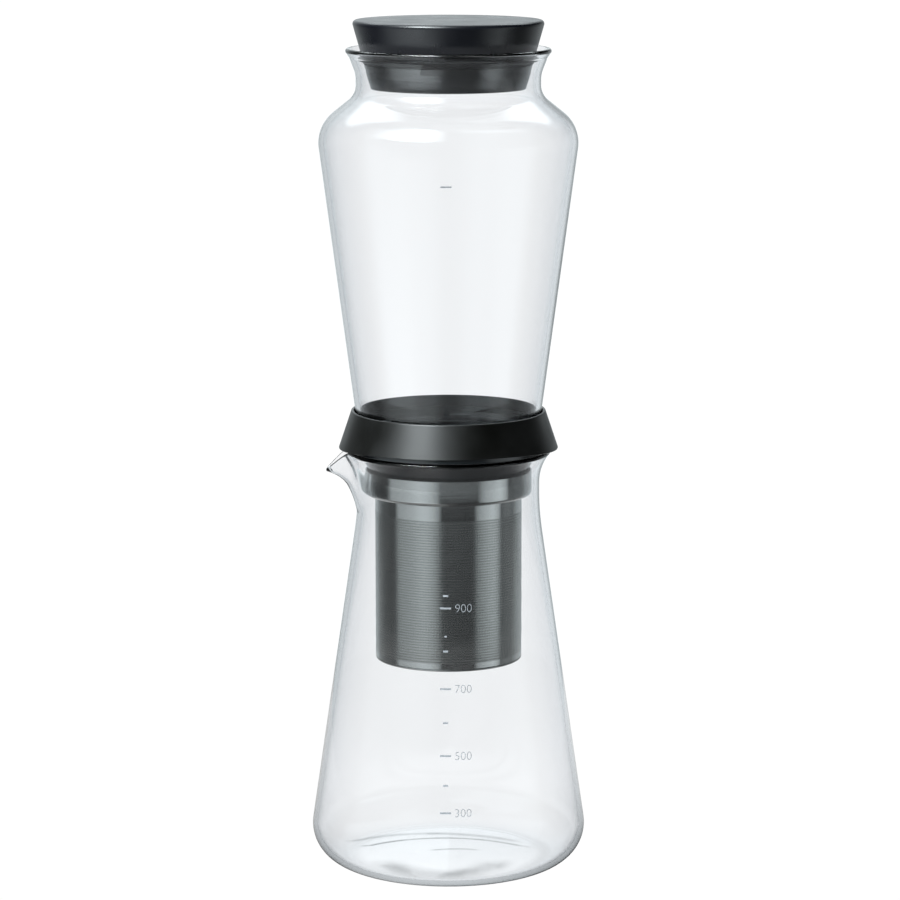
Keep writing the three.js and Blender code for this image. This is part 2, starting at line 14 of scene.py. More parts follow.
import bmesh
import bpy
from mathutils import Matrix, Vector


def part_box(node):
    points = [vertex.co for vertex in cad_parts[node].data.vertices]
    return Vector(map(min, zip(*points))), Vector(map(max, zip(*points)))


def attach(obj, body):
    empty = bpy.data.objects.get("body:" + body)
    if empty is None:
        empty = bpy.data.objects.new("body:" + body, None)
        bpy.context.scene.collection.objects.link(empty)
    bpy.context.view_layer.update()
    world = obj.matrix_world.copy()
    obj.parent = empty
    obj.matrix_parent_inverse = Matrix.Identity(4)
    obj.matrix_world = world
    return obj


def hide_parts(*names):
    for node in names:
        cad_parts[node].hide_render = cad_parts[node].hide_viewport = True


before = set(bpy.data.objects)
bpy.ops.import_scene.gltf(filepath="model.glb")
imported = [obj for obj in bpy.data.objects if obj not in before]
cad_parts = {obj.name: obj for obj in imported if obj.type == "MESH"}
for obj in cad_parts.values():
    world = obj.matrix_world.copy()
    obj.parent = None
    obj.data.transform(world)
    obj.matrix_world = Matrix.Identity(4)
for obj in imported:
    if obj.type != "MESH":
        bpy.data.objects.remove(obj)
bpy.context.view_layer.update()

logging.basicConfig(level=logging.INFO, format="%(name)s: %(message)s")
log = logging.getLogger("coffee_maker")

Material = bpy.types.Material
Mesh = bpy.types.Mesh
Node = bpy.types.Node
Piece = bpy.types.Object
Socket = bpy.types.NodeSocket
Source = Node | Socket  # what a link comes from, where a node stands for its first output
Tree = bpy.types.NodeTree
Marks = tuple[tuple[float, float], ...]  # the height and length of each printed tick

MM = 0.001
GLASS_WALL = 2.2
SEAT_GAP = 0.3
SLIP_GAP = 0.5
SWEEP_RADIUS = 1.0  # of the small circle that an outline is swept round
FILLET_SHARE = 0.95  # the most of a side's free length that a fillet takes
ARC_SAG = 0.006  # how far a facet of a fillet may lie inside its arc
RIM_STEPS = 16  # the facets across a fire-polished rim
SUPPORT = 0.25  # how far from its ends a long side gets a row of its own
LONG_SIDE = 1.25
CREASE = math.radians(32)
WELD = 1e-6  # points this near are one point, in metres
SLIVER = 1e-7  # edges this short go, in metres
NOISE_LOW, NOISE_HIGH = 0.3, 0.7  # where most values of a noise lie
BAR_POINTS = 9  # along a printed bar, so that it bends round the wall
PUNCH_SIDES = 24


class Body(Enum):
    """The CAD bodies that pieces ride on."""

    CARAFE = "carafe"
    STRAINER = "strainer"
    SPREADER = "spreader"
    DRIPPER = "dripper"
    BOWL = "bowl"
    LID = "lid"


class Slot(Enum):
    """The record's material slots."""

    CARAFE_GLASS = "carafe_glass"
    BOWL_GLASS = "bowl_glass"
    BLACK_PLASTIC = "black_plastic"
    COLLAR_SLEEVE = "collar_sleeve"
    LID_PLASTIC = "lid_plastic"
    SILICONE = "silicone"
    POLISHED_STEEL = "polished_steel"
    ETCHED_STEEL = "etched_steel"


def low(node: str) -> float:
    """The height of a CAD node's lowest point, in millimetres."""
    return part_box(node)[0].z / MM


def high(node: str) -> float:
    """The height of a CAD node's highest point, in millimetres."""
    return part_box(node)[1].z / MM


def girth(node: str) -> float:
    """The largest radius of a round CAD node, in millimetres."""
    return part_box(node)[1].x / MM


# Outlines


@dataclass(frozen=True)
class Corner:
    """A corner of an outline, with the radius of the fillet there."""

    r: float
    z: float
    fillet: float = 0.0

    @property
    def at(self) -> Vector:
        """Its place in the r-z plane."""
        return Vector((self.r, self.z))


def swung(arm: Vector, angle: float) -> Vector:
    """An arm in the r-z plane, turned by an angle."""
    c, s = math.cos(angle), math.sin(angle)
    return Vector((arm.x * c - arm.y * s, arm.x * s + arm.y * c))


@dataclass(frozen=True)
class Outline:
    """A line in the r-z plane that a piece is turned from."""

    points: tuple[Vector, ...]
    closed: bool = False

    @staticmethod
    def of(*corners: Corner, closed: bool = False) -> "Outline":
        """Draws an outline through corners and rounds those that have a fillet.

        Args:
            corners: the corners in order.
            closed: whether the last corner joins the first.

        Returns:
            The outline with its fillets drawn as short facets.
        """
        points: list[Vector] = []
        count = len(corners)
        for i, here in enumerate(corners):
            if not here.fillet or not (closed or 0 < i < count - 1):
                points.append(here.at)
                continue
            before, after = corners[i - 1], corners[(i + 1) % count]
            back, on = before.at - here.at, after.at - here.at
            back_room = back.length / (2 if before.fillet else 1)
            on_room = on.length / (2 if after.fillet else 1)
            half = back.angle(on) / 2
            reach = min(here.fillet / math.tan(half), FILLET_SHARE * min(back_room, on_room))
            radius = reach * math.tan(half)
            back.normalize()
            on.normalize()
            centre = here.at + (back + on).normalized() * radius / math.sin(half)
            arm = here.at + back * reach - centre
            turn = math.copysign(math.pi - 2 * half, back.y * on.x - back.x * on.y)
            facet = 2 * math.acos(1 - min(1, ARC_SAG / radius))
            steps = max(2, math.ceil(abs(turn) / facet))
            points += [centre + swung(arm, turn * k / steps) for k in range(steps + 1)]
        return Outline(tuple(points), closed).supported()

    def supported(self) -> "Outline":
        """The same line with points near the ends of its long sides, which keep them evenly lit."""
        ends = self.points + self.points[:1] if self.closed else self.points
        rows = []
        for start, end in zip(ends, ends[1:]):
            rows.append(start)
            length = (end - start).length
            if length > LONG_SIDE:
                share = SUPPORT / length
                rows += [start.lerp(end, share)] if start.x > 0 else []
                rows += [start.lerp(end, 1 - share)] if end.x > 0 else []
        return Outline(tuple(rows) if self.closed else (*rows, self.points[-1]), self.closed)

    def inset(self, distance: float) -> tuple[Vector, ...]:
        """Moves the line sideways, towards its left-hand side.

        Args:
            distance: how far.

        Returns:
            The moved points. A point on the axis stays there.
        """
        moved = []
        for i, point in enumerate(self.points):
            before = self.points[max(0, i - 1)]
            after = self.points[min(len(self.points) - 1, i + 1)]
            into = (point - before).normalized()
            out = (after - point).normalized()
            along = (into + out).normalized()
            mitre = max(along.dot(into), along.dot(out))
            side = Vector((-along.y, along.x)) * distance / mitre
            moved.append(Vector((0, point.y + distance)) if point.x == 0 else point + side)
        return tuple(moved)

    def blown(self, wall: float) -> "Outline":
        """Draws the vessel whose outside is this line.

        Args:
            wall: the thickness of the glass.

        Returns:
            The outer line, a fire-polished rim and the inner line.
        """
        inner = self.inset(wall)
        centre = (self.points[-1] + inner[-1]) / 2
        arm = self.points[-1] - centre
        rim = [centre + swung(arm, math.pi * k / RIM_STEPS) for k in range(1, RIM_STEPS)]
        return Outline((*self.points, *rim, *inner[::-1]), self.points[0].x > 0)

    def with_rows(self, above: float, step: float) -> "Outline":
        """Adds points above a height, for a wall that is pulled out there.

        Args:
            above: the height.
            step: the most that two points then differ in height.

        Returns:
            The same line with more points.
        """
        rows = [self.points[0]]
        for start, end in zip(self.points, self.points[1:]):
            rise = abs(end.y - start.y)
            parts = math.ceil(rise / step) if max(start.y, end.y) > above else 1
            rows += [start.lerp(end, k / parts) for k in range(1, parts)] + [end]
        return Outline(tuple(rows), self.closed)

    def radius_at(self, height: float) -> float:
        """Measures the line.

        Args:
            height: where.

        Returns:
            Its widest radius there, or 0 above and below it.
        """
        found = 0.0
        for start, end in zip(self.points, self.points[1:]):
            bottom, top = sorted((start, end), key=lambda point: point.y)
            if bottom.y <= height <= top.y and top.y > bottom.y:
                share = (height - bottom.y) / (top.y - bottom.y)
                found = max(found, bottom.x + (top.x - bottom.x) * share)
        return found


# Nodes


def linear(code: str) -> tuple[float, float, float, float]:
    """Turns an sRGB hex colour into the linear colour that a shader works in."""
    parts = [int(code[i : i + 2], 16) / 255 for i in (1, 3, 5)]
    return (*(c / 12.92 if c <= 0.04045 else ((c + 0.055) / 1.055) ** 2.4 for c in parts), 1.0)


def add(
    tree: Tree,
    kind: str,
    inputs: dict | None = None,
    stops: list[tuple[float, tuple]] | None = None,
    **settings: object,
) -> Node:
    """Adds a node with its settings and links.

    Args:
        tree: the tree that gets the node.
        kind: the node's type.
        inputs: what goes into its sockets, by name or number: a value, or a source to link.
        stops: the places and colours of a colour ramp.
        settings: the node's own properties.

    Returns:
        The new node.
    """
    node = tree.nodes.new(kind)
    for name, value in settings.items():
        setattr(node, name, value)
    if stops:
        elements = node.color_ramp.elements
        while len(elements) < len(stops):
            elements.new(1.0)
        for element, (spot, colour) in zip(elements, stops):
            element.position = spot
            element.color = colour
    for name, value in (inputs or {}).items():
        if isinstance(value, Source):
            output = value.outputs[0] if isinstance(value, Node) else value
            tree.links.new(output, node.inputs[name])
        else:
            node.inputs[name].default_value = value
    return node


def new_material(name: str) -> tuple[Material, Tree]:
    """An empty material and its tree."""
    material = bpy.data.materials.new(name)
    material.use_nodes = True
    material.node_tree.nodes.clear()
    return material, material.node_tree


def uneven(
    tree: Tree, spot: Source, size: float, depth: float, detail: float
) -> tuple[Node, Node]:
    """Adds a random relief.

    Args:
        tree: the material's tree.
        spot: where on the piece a point lies.
        size: how wide one wave of the relief is.
        depth: how deep it is.
        detail: how many finer waves lie on it.

    Returns:
        The noise, and the bump that it gives.
    """
    waves = {"Vector": spot, "Scale": 1 / (size * MM), "Detail": detail}
    noise = add(tree, "ShaderNodeTexNoise", waves)
    bump = add(tree, "ShaderNodeBump", {"Height": noise, "Strength": 1.0, "Distance": depth * MM})
    return noise, bump


# Finishes


@dataclass(frozen=True)
class Finish:
    """What all finishes share: a name, and a shader that the piece's own coordinates feed."""

    name: str

    def sockets(self, tree: Tree, spot: Socket) -> dict:
        """Adds the finish's own nodes.

        Args:
            tree: the material's tree.
            spot: where on the piece a point lies.

        Returns:
            What goes into the shader's sockets, by their names.
        """
        raise NotImplementedError

    def build(self) -> Material:
        """Makes the material."""
        material, tree = new_material(self.name)
        spot = add(tree, "ShaderNodeTexCoord").outputs["Object"]
        shader = add(tree, "ShaderNodeBsdfPrincipled", self.sockets(tree, spot))
        add(tree, "ShaderNodeOutputMaterial", {"Surface": shader})
        return material


@dataclass(frozen=True)
class BlownGlass(Finish):
    """Borosilicate glass, blown into a mould and fire-polished.

    It is clear and colourless face on. Towards the outline the wall is seen edge on, where light
    has a longer way through it, so the outline comes out as a thin grey line.
    """

    face: str = "#fbfcfd"
    rim: str = "#f4f6f9"
    line: str = "#e2e7eb"
    edge: str = "#9aa3aa"
    rim_starts: float = 0.3
    line_starts: float = 0.76
    edge_starts: float = 0.88
    ior: float = 1.47
    swirl_size: float = 26.0  # slow waves that blowing leaves in the wall
    swirl_depth: float = 0.012

    def sockets(self, tree: Tree, spot: Socket) -> dict:
        """Adds the tint of the edges and the slow waves.

        Args:
            tree: the material's tree.
            spot: where on the piece a point lies.

        Returns:
            What goes into the shader's sockets, by their names.
        """
        facing = add(tree, "ShaderNodeLayerWeight", {"Blend": 0.5}).outputs["Facing"]
        stops = [
            (self.rim_starts, linear(self.face)),
            (self.line_starts, linear(self.rim)),
            (self.edge_starts, linear(self.line)),
            (1.0, linear(self.edge)),
        ]
        _, waves = uneven(tree, spot, self.swirl_size, self.swirl_depth, detail=1.0)
        return {
            "Base Color": add(tree, "ShaderNodeValToRGB", {"Fac": facing}, stops),
            "Roughness": 0.0,
            "IOR": self.ior,
            "Transmission Weight": 1.0,
            "Normal": waves,
        }


@dataclass(frozen=True)
class MouldedPlastic(Finish):
    """Black polypropylene, injection moulded against a spark-eroded steel mould.

    The erosion leaves a fine even grain that breaks up the gloss. Handling polishes it a little.
    """

    colour: str
    roughness: float
    grain_size: float = 0.35
    grain_depth: float = 0.006
    polish_size: float = 14.0
    polish: float = 0.06
    specular: float = 0.5

    def sockets(self, tree: Tree, spot: Socket) -> dict:
        """Adds the grain and the polished patches.

        Args:
            tree: the material's tree.
            spot: where on the piece a point lies.

        Returns:
            What goes into the shader's sockets, by their names.
        """
        _, grain = uneven(tree, spot, self.grain_size, self.grain_depth, detail=2.0)
        waves = {"Vector": spot, "Scale": 1 / (self.polish_size * MM), "Detail": 3.0}
        limits = {
            "Value": add(tree, "ShaderNodeTexNoise", waves),
            "From Min": NOISE_LOW,
            "From Max": NOISE_HIGH,
            "To Min": self.roughness - self.polish,
            "To Max": self.roughness + self.polish,
        }
        return {
            "Base Color": linear(self.colour),
            "Roughness": add(tree, "ShaderNodeMapRange", limits),
            "Specular IOR Level": self.specular,
            "Normal": grain,
        }


@dataclass(frozen=True)
class TurnedSteel(Finish):
    """Stainless steel sheet, deep drawn and spun, then polished round and round.

    Polishing leaves hair-fine rings, which spread each reflection a little up and down.
    """

    colour: str = "#c9cac8"
    roughness: float = 0.045
    glossiest: float = 0.8  # the shares of the roughness that the rings vary between
    dullest: float = 1.25
    ring_size: float = 0.9
    ring_depth: float = 0.0005
    ring_stretch: float = 0.02  # their height by their length
    row_pitch: float = 0.0  # of the etched rows, 0 for a plain sheet
    row_depth: float = 0.0
    rows_from: float = 0.0
    rows_to: float = 0.0
    row_fade: float = 0.3
    row_colour: str = "#8d908c"
    row_dullness: float = 0.13
    least_dark: float = 0.22  # how much of the row colour shows between the holes
    most_dark: float = 0.78  # how much of it shows in them
    columns: float = 170.0  # how many holes a row has
    column_share: float = 0.35  # how strong the columns are beside the rows

    def sockets(self, tree: Tree, spot: Socket) -> dict:
        """Adds the rings, and the etched rows where the sheet has them.

        Args:
            tree: the material's tree.
            spot: where on the piece a point lies.

        Returns:
            What goes into the shader's sockets, by their names.
        """
        stretch = (self.ring_stretch, self.ring_stretch, 1.0)
        lathe = add(tree, "ShaderNodeMapping", {"Vector": spot, "Scale": stretch})
        rings, relief = uneven(tree, lathe, self.ring_size, self.ring_depth, detail=3.0)
        limits = {
            "Value": rings,
            "From Min": NOISE_LOW,
            "From Max": NOISE_HIGH,
            "To Min": self.roughness * self.glossiest,
            "To Max": self.roughness * self.dullest,
        }
        plain = {
            "Base Color": linear(self.colour),
            "Metallic": 1.0,
            "Roughness": add(tree, "ShaderNodeMapRange", limits),
            "Normal": relief,
        }
        if not self.row_pitch:
            return plain
        return plain | self.etch(tree, spot, plain["Roughness"], relief)

    def etch(self, tree: Tree, spot: Socket, gloss: Node, relief: Node) -> dict:
        """Adds rows of etched holes between two heights.

        Args:
            tree: the material's tree.
            spot: where on the piece a point lies.
            gloss: the node that gives the plain sheet's roughness.
            relief: the bump of the plain sheet.

        Returns:
            What goes into the sockets that the rows change, by their names.
        """
        axes = add(tree, "ShaderNodeSeparateXYZ", {0: spot}).outputs
        turn = add(tree, "ShaderNodeMath", {0: axes["X"], 1: axes["Y"]}, operation="ARCTAN2")
        column = add(tree, "ShaderNodeMath", {0: turn, 1: self.columns}, operation="MULTIPLY")
        across = add(tree, "ShaderNodeMath", {0: column}, operation="SINE")
        pace = 2 * math.pi / (self.row_pitch * MM)
        row = add(tree, "ShaderNodeMath", {0: axes["Z"], 1: pace}, operation="MULTIPLY")
        up = add(tree, "ShaderNodeMath", {0: row}, operation="SINE")
        waves = {0: across, 1: self.column_share, 2: up}
        both = add(tree, "ShaderNodeMath", waves, operation="MULTIPLY_ADD")
        inside = 1.0
        for end, way in ((self.rows_from, 1), (self.rows_to, -1)):
            ends = {"From Min": end * MM, "From Max": (end + way * self.row_fade) * MM}
            side = add(tree, "ShaderNodeMapRange", {"Value": axes["Z"], **ends})
            inside = add(tree, "ShaderNodeMath", {0: inside, 1: side}, operation="MULTIPLY")
        limits = {
            "Value": both,
            "From Min": -1 - self.column_share,
            "From Max": 1 + self.column_share,
            "To Min": self.least_dark,
            "To Max": self.most_dark,
        }
        holes = add(tree, "ShaderNodeMapRange", limits)
        dark = add(tree, "ShaderNodeMath", {0: holes, 1: inside}, operation="MULTIPLY")
        colours = {0: dark, 6: linear(self.colour), 7: linear(self.row_colour)}
        matt = {0: inside, 1: self.row_dullness, 2: gloss}
        depth = self.row_depth * MM
        pits = {"Height": dark, "Strength": 1.0, "Distance": depth, "Normal": relief}
        return {
            "Base Color": add(tree, "ShaderNodeMix", colours, data_type="RGBA").outputs[2],
            "Roughness": add(tree, "ShaderNodeMath", matt, operation="MULTIPLY_ADD"),
            "Normal": add(tree, "ShaderNodeBump", pits, invert=True),
        }


@dataclass(frozen=True)
class FiredInk(Finish):
    """Ceramic ink, screen printed on the glass and fired. It is pale, matt and a little uneven."""

    colour: str = "#8d9094"
    thin_colour: str = "#787b7f"
    thin_below: float = 0.35
    full_above: float = 0.6
    speckle_size: float = 0.5
    roughness: float = 0.6

    def sockets(self, tree: Tree, spot: Socket) -> dict:
        """Adds the thin and full spots of the print.

        Args:
            tree: the material's tree.
            spot: where on the piece a point lies.

        Returns:
            What goes into the shader's sockets, by their names.
        """
        waves = {"Vector": spot, "Scale": 1 / (self.speckle_size * MM), "Detail": 2.0}
        speckle = add(tree, "ShaderNodeTexNoise", waves)
        thin, full = linear(self.thin_colour), linear(self.colour)
        stops = [(self.thin_below, thin), (self.full_above, full)]
        tint = add(tree, "ShaderNodeValToRGB", {"Fac": speckle}, stops)
        return {"Base Color": tint, "Roughness": self.roughness}


def made(finish: Finish) -> Field:
    """A field for the material of a finish, which is made together with the others."""
    return field(default_factory=finish.build)


@dataclass
class Finishes:
    """Every finish on the object, each made once."""

    carafe_glass: Material = made(BlownGlass("borosilicate_glass_carafe"))
    bowl_glass: Material = made(BlownGlass("borosilicate_glass_bowl"))
    # The frame is the glossiest plastic, and mirrors the light through the glass round it
    frame_plastic: Material = made(
        MouldedPlastic("moulded_pp_frame", "#1b2125", 0.13, polish=0.04, specular=0.9)
    )
    # The sleeve is duller than the frame, as a filled or soft-touch grade is
    collar_plastic: Material = made(MouldedPlastic("moulded_pp_collar", "#030302", 0.35))
    lid_plastic: Material = made(MouldedPlastic("moulded_pp_lid", "#0c0d13", 0.3))
    # The plug is moulded against a polished steel, so that the gasket seals on it
    plug_plastic: Material = made(
        MouldedPlastic("moulded_pp_plug", "#14151a", 0.16, polish=0.03, specular=1.0)
    )
    # Silicone rubber, pressed in a polished mould: even, soft sheen
    silicone: Material = made(MouldedPlastic("pressed_silicone", "#2b2d2f", 0.55, polish=0.03))
    polished_steel: Material = made(TurnedSteel("polished_stainless_steel"))
    # The real holes are about 0.3 mm and don't show at this distance. Their rows are coarser
    etched_steel: Material = made(
        TurnedSteel(
            "etched_stainless_steel",
            row_pitch=1.15,
            row_depth=0.001,
            rows_from=low("strainer_foot") + 3.2,
            rows_to=153.8,
        )
    )
    ink: Material = made(FiredInk("fired_ceramic_ink"))


# Making pieces


def growing_tree(
    name: str, grow: Callable[[Tree, dict[str, Socket]], Node], **kinds: str
) -> Tree:
    """Makes a geometry node tree that grows a piece from a seed mesh.

    Args:
        name: the tree's name.
        grow: adds the tree's own nodes between its inputs and its end, and gives the last of them.
        kinds: the types of its own inputs, by their names with _ for a space.

    Returns:
        The tree. It also takes a Material, and ends in real faces that have it.
    """
    tree = bpy.data.node_groups.new(name, "GeometryNodeTree")
    for label, kind in {"Geometry": "Geometry", **kinds, "Material": "Material"}.items():
        label = label.replace("_", " ")
        tree.interface.new_socket(label, in_out="INPUT", socket_type="NodeSocket" + kind)
    tree.interface.new_socket("Geometry", in_out="OUTPUT", socket_type="NodeSocketGeometry")
    given = {socket.name: socket for socket in add(tree, "NodeGroupInput").outputs}
    real = add(tree, "GeometryNodeRealizeInstances", {0: grow(tree, given)})
    faces = {"Geometry": real, "Material": given["Material"]}
    add(tree, "NodeGroupOutput", {0: add(tree, "GeometryNodeSetMaterial", faces)})
    return tree


def sweep(tree: Tree, given: dict[str, Socket]) -> Node:
    """Adds what sweeps an outline round the Z axis.

    Args:
        tree: the tree.
        given: its inputs, of which Sides is how many sides the piece gets.

    Returns:
        The last node.
    """
    circle = {"Resolution": given["Sides"], "Radius": SWEEP_RADIUS * MM}
    path = add(tree, "GeometryNodeCurvePrimitiveCircle", circle)
    upright = add(tree, "GeometryNodeSetCurveNormal", {"Curve": path}, mode="Z_UP")
    line = add(tree, "GeometryNodeMeshToCurve", {0: given["Geometry"]})
    swept = add(tree, "GeometryNodeCurveToMesh", {"Curve": upright, "Profile Curve": line})
    return add(tree, "GeometryNodeMergeByDistance", {"Geometry": swept, "Distance": WELD})


def new_object(name: str, data: bpy.types.ID) -> Piece:
    """A new object in the scene, at the origin."""
    piece = bpy.data.objects.new(name, data)
    bpy.context.scene.collection.objects.link(piece)
    return piece


def plain_mesh(start: Piece, name: str) -> Mesh:
    """Keeps what an object's modifiers or letters come out as.

    Args:
        start: the object, which is used up.
        name: the mesh's name.

    Returns:
        The mesh.
    """
    depsgraph = bpy.context.evaluated_depsgraph_get()
    mesh = bpy.data.meshes.new_from_object(start.evaluated_get(depsgraph))
    start.modifiers.clear()
    bpy.data.objects.remove(start)
    mesh.name = name
    return mesh


def grown(name: str, seed: Mesh, tree: Tree, **values: object) -> Piece:
    """Runs a node tree on a mesh and keeps the result as a plain piece.

    Args:
        name: the piece's name.
        seed: the mesh that the tree starts from.
        tree: the geometry node tree.
        values: the tree's inputs, by their names with _ for a space.

    Returns:
        The piece, at the origin and with no modifier.
    """
    start = new_object(name + "_seed", seed)
    modifier = start.modifiers.new("grow", "NODES")
    modifier.node_group = tree
    for item in tree.interface.items_tree:
        key = item.name.replace(" ", "_")
        if item.in_out == "INPUT" and key in values:
            modifier[item.identifier] = values[key]
    return new_object(name, plain_mesh(start, name))


@contextmanager
def edited(mesh: Mesh) -> Iterator[bmesh.types.BMesh]:
    """Opens a mesh for bmesh's tools, and writes it back after them."""
    shape = bmesh.new()
    shape.from_mesh(mesh)
    yield shape
    shape.to_mesh(mesh)
    shape.free()


def close_up(mesh: Mesh) -> None:
    """Merges doubles, turns every face outwards and shades the mesh smooth between its creases."""
    with edited(mesh) as shape:
        bmesh.ops.remove_doubles(shape, verts=shape.verts, dist=WELD)
        bmesh.ops.dissolve_degenerate(shape, edges=shape.edges, dist=SLIVER)
        bmesh.ops.recalc_face_normals(shape, faces=shape.faces)
    mesh.shade_smooth()
    mesh.set_sharp_from_angle(angle=CREASE)


@dataclass
class Lathe:
    """Turns outlines into pieces."""

    tree: Tree = field(default_factory=lambda: growing_tree("Turned Piece", sweep, Sides="Int"))

    def turn(self, name: str, outline: Outline, material: Material, sides: int) -> Piece:
        """Turns one piece.

        Args:
            name: the piece's name.
            outline: what it is turned from.
            material: its finish.
            sides: how many sides it has round the axis.

        Returns:
            The piece.
        """
        count = len(outline.points)
        line = bpy.data.meshes.new(name + "_outline")
        edges = [(i, i + 1) for i in range(count - 1)]
        if outline.closed:
            edges.append((count - 1, 0))
        flat = [((p.x - SWEEP_RADIUS) * MM, -p.y * MM, 0) for p in outline.points]
        line.from_pydata(flat, edges, [])
        piece = grown(name, line, self.tree, Sides=sides, Material=material)
        close_up(piece.data)
        return piece


def place(piece: Piece, body: Body, slot: Slot | None, *nodes: str) -> None:
    """Hangs a piece on its body, hides the CAD nodes that it replaces and logs it.

    Args:
        piece: the finished piece.
        body: the CAD body that it rides on.
        slot: the record's slot that its finish comes from, or None. It is not used.
        nodes: the CAD nodes that it replaces.
    """
    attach(piece, body.value)
    if nodes:
        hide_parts(*nodes)
    log.info("%s rides on %s, %d faces", piece.name, body.value, len(piece.data.polygons))


# Sub-assemblies


@dataclass
class Carafe:
    """The blown carafe with its drawn spout and printed volume scale."""

    finishes: Finishes
    lathe: Lathe
    skirt_radius: float = 61.00  # a hair under the CAD's, so that finer facets stay in its box
    edge_height: float = 177.9
    heel: float = 16.1
    foot_ring: float = 40.5
    punt: float = 2.2
    waist_radius: float = 38.6
    waist_length: float = 19.0
    waist_round: float = 120.0
    flare_height: float = 5.9
    flare_round: float = 22.0
    flare_reach: float = 4.5
    spout_reach: float = 8.6
    spout_drop: float = 8.5
    spout_depth: float = 25.5
    spout_reach_power: float = 1.1
    spout_drop_power: float = 2.0
    spout_tip: float = math.radians(8)
    spout_root: float = math.radians(16)
    crowding: float = 0.55  # how far the sides crowd towards the spout
    row_step: float = 1.2
    sides: int = 224

    @property
    def root(self) -> float:
        """The height where the spout begins."""
        return self.edge_height - self.spout_depth

    def outside(self) -> Outline:
        """The outer line, from the middle of the base to the rim."""
        flare = self.edge_height - self.flare_height
        return Outline.of(
            Corner(0, self.punt),
            Corner(self.foot_ring, 0),
            Corner(self.skirt_radius, 0, self.heel),
            Corner(self.waist_radius, flare - self.waist_length, self.waist_round),
            Corner(self.waist_radius, flare, self.flare_round),
            Corner(self.waist_radius + self.flare_reach, self.edge_height),
        )

    def draw_spout(self, mesh: Mesh) -> None:
        """Pulls the rim out and down into the spout, as a hot glass rim is drawn with a rod.

        Args:
            mesh: the turned vessel's.
        """
        for vertex in mesh.vertices:
            x, y, z = vertex.co / MM
            radius = math.hypot(x, y)
            even = math.atan2(-y, -x)
            angle = even - self.crowding * math.sin(even)
            rise = min(1.0, max(0.0, (z - self.root) / self.spout_depth))
            width = self.spout_root + (self.spout_tip - self.spout_root) * rise
            pull = math.exp(-((angle / width) ** 2))
            reach = radius + self.spout_reach * pull * rise**self.spout_reach_power
            drop = self.spout_drop * pull * rise**self.spout_drop_power
            vertex.co = Vector((-reach * math.cos(angle), -reach * math.sin(angle), z - drop)) * MM

    def build(self) -> None:
        """Makes the vessel and its print."""
        outside = self.outside()
        section = outside.with_rows(self.root, self.row_step).blown(GLASS_WALL)
        glass = self.lathe.turn("carafe_vessel", section, self.finishes.carafe_glass, self.sides)
        self.draw_spout(glass.data)
        glass.data.shade_smooth()
        place(glass, Body.CARAFE, Slot.CARAFE_GLASS, "carafe")
        VolumeScale(self.finishes, outside).build()


def print_bars(tree: Tree, given: dict[str, Socket]) -> Node:
    """Adds what puts one printed bar on each point, as long as the point says.

    Args:
        tree: the tree.
        given: its inputs, among them Bar Height and Ink Thickness.

    Returns:
        The last node.
    """
    length = add(tree, "GeometryNodeInputNamedAttribute", {"Name": "tick_length"})
    sides = {"X": length, "Y": given["Ink Thickness"], "Z": given["Bar Height"]}
    size = add(tree, "ShaderNodeCombineXYZ", sides)
    block = {"Size": (1, 1, 1), "Vertices X": BAR_POINTS, "Vertices Y": 2, "Vertices Z": 2}
    bar = add(tree, "GeometryNodeMeshCube", block)
    bars = {"Points": given["Geometry"], "Instance": bar, "Scale": size}
    return add(tree, "GeometryNodeInstanceOnPoints", bars)


@dataclass
class Print:
    """Ink printed flat and then laid on the front of a turned wall."""

    wall: Outline
    ink_thickness: float = 0.04
    ink_gap: float = 0.02

    def wrap(self, mesh: Mesh) -> None:
        """Lays flat artwork on the wall.

        Args:
            mesh: the artwork. X runs round the wall, Y is the ink's depth and Z is height.
        """
        for vertex in mesh.vertices:
            x, y, z = vertex.co / MM
            radius = self.wall.radius_at(z) + self.ink_gap + self.ink_thickness / 2
            angle = x / radius
            out = radius - y
            vertex.co = Vector((out * math.sin(angle), -out * math.cos(angle), z)) * MM

    def ticks(
        self, name: str, marks: Marks, centre: float, height: float, ink: Material
    ) -> Piece:
        """Prints a column of ticks.

        Args:
            name: the piece's name.
            marks: the height and length of each tick.
            centre: how far the column's middle is from the front, to the right.
            height: how tall each tick is.
            ink: its material.

        Returns:
            The piece.
        """
        seed = bpy.data.meshes.new(name + "_points")
        seed.from_pydata([(centre * MM, 0, z * MM) for z, _ in marks], [], [])
        lengths = seed.attributes.new("tick_length", "FLOAT", "POINT")
        lengths.data.foreach_set("value", [length * MM for _, length in marks])
        tree = growing_tree(
            "Printed Ticks", print_bars, Bar_Height="Float", Ink_Thickness="Float"
        )
        sizes = {"Bar_Height": height * MM, "Ink_Thickness": self.ink_thickness * MM}
        piece = grown(name, seed, tree, **sizes, Material=ink)
        self.wrap(piece.data)
        close_up(piece.data)
        return piece


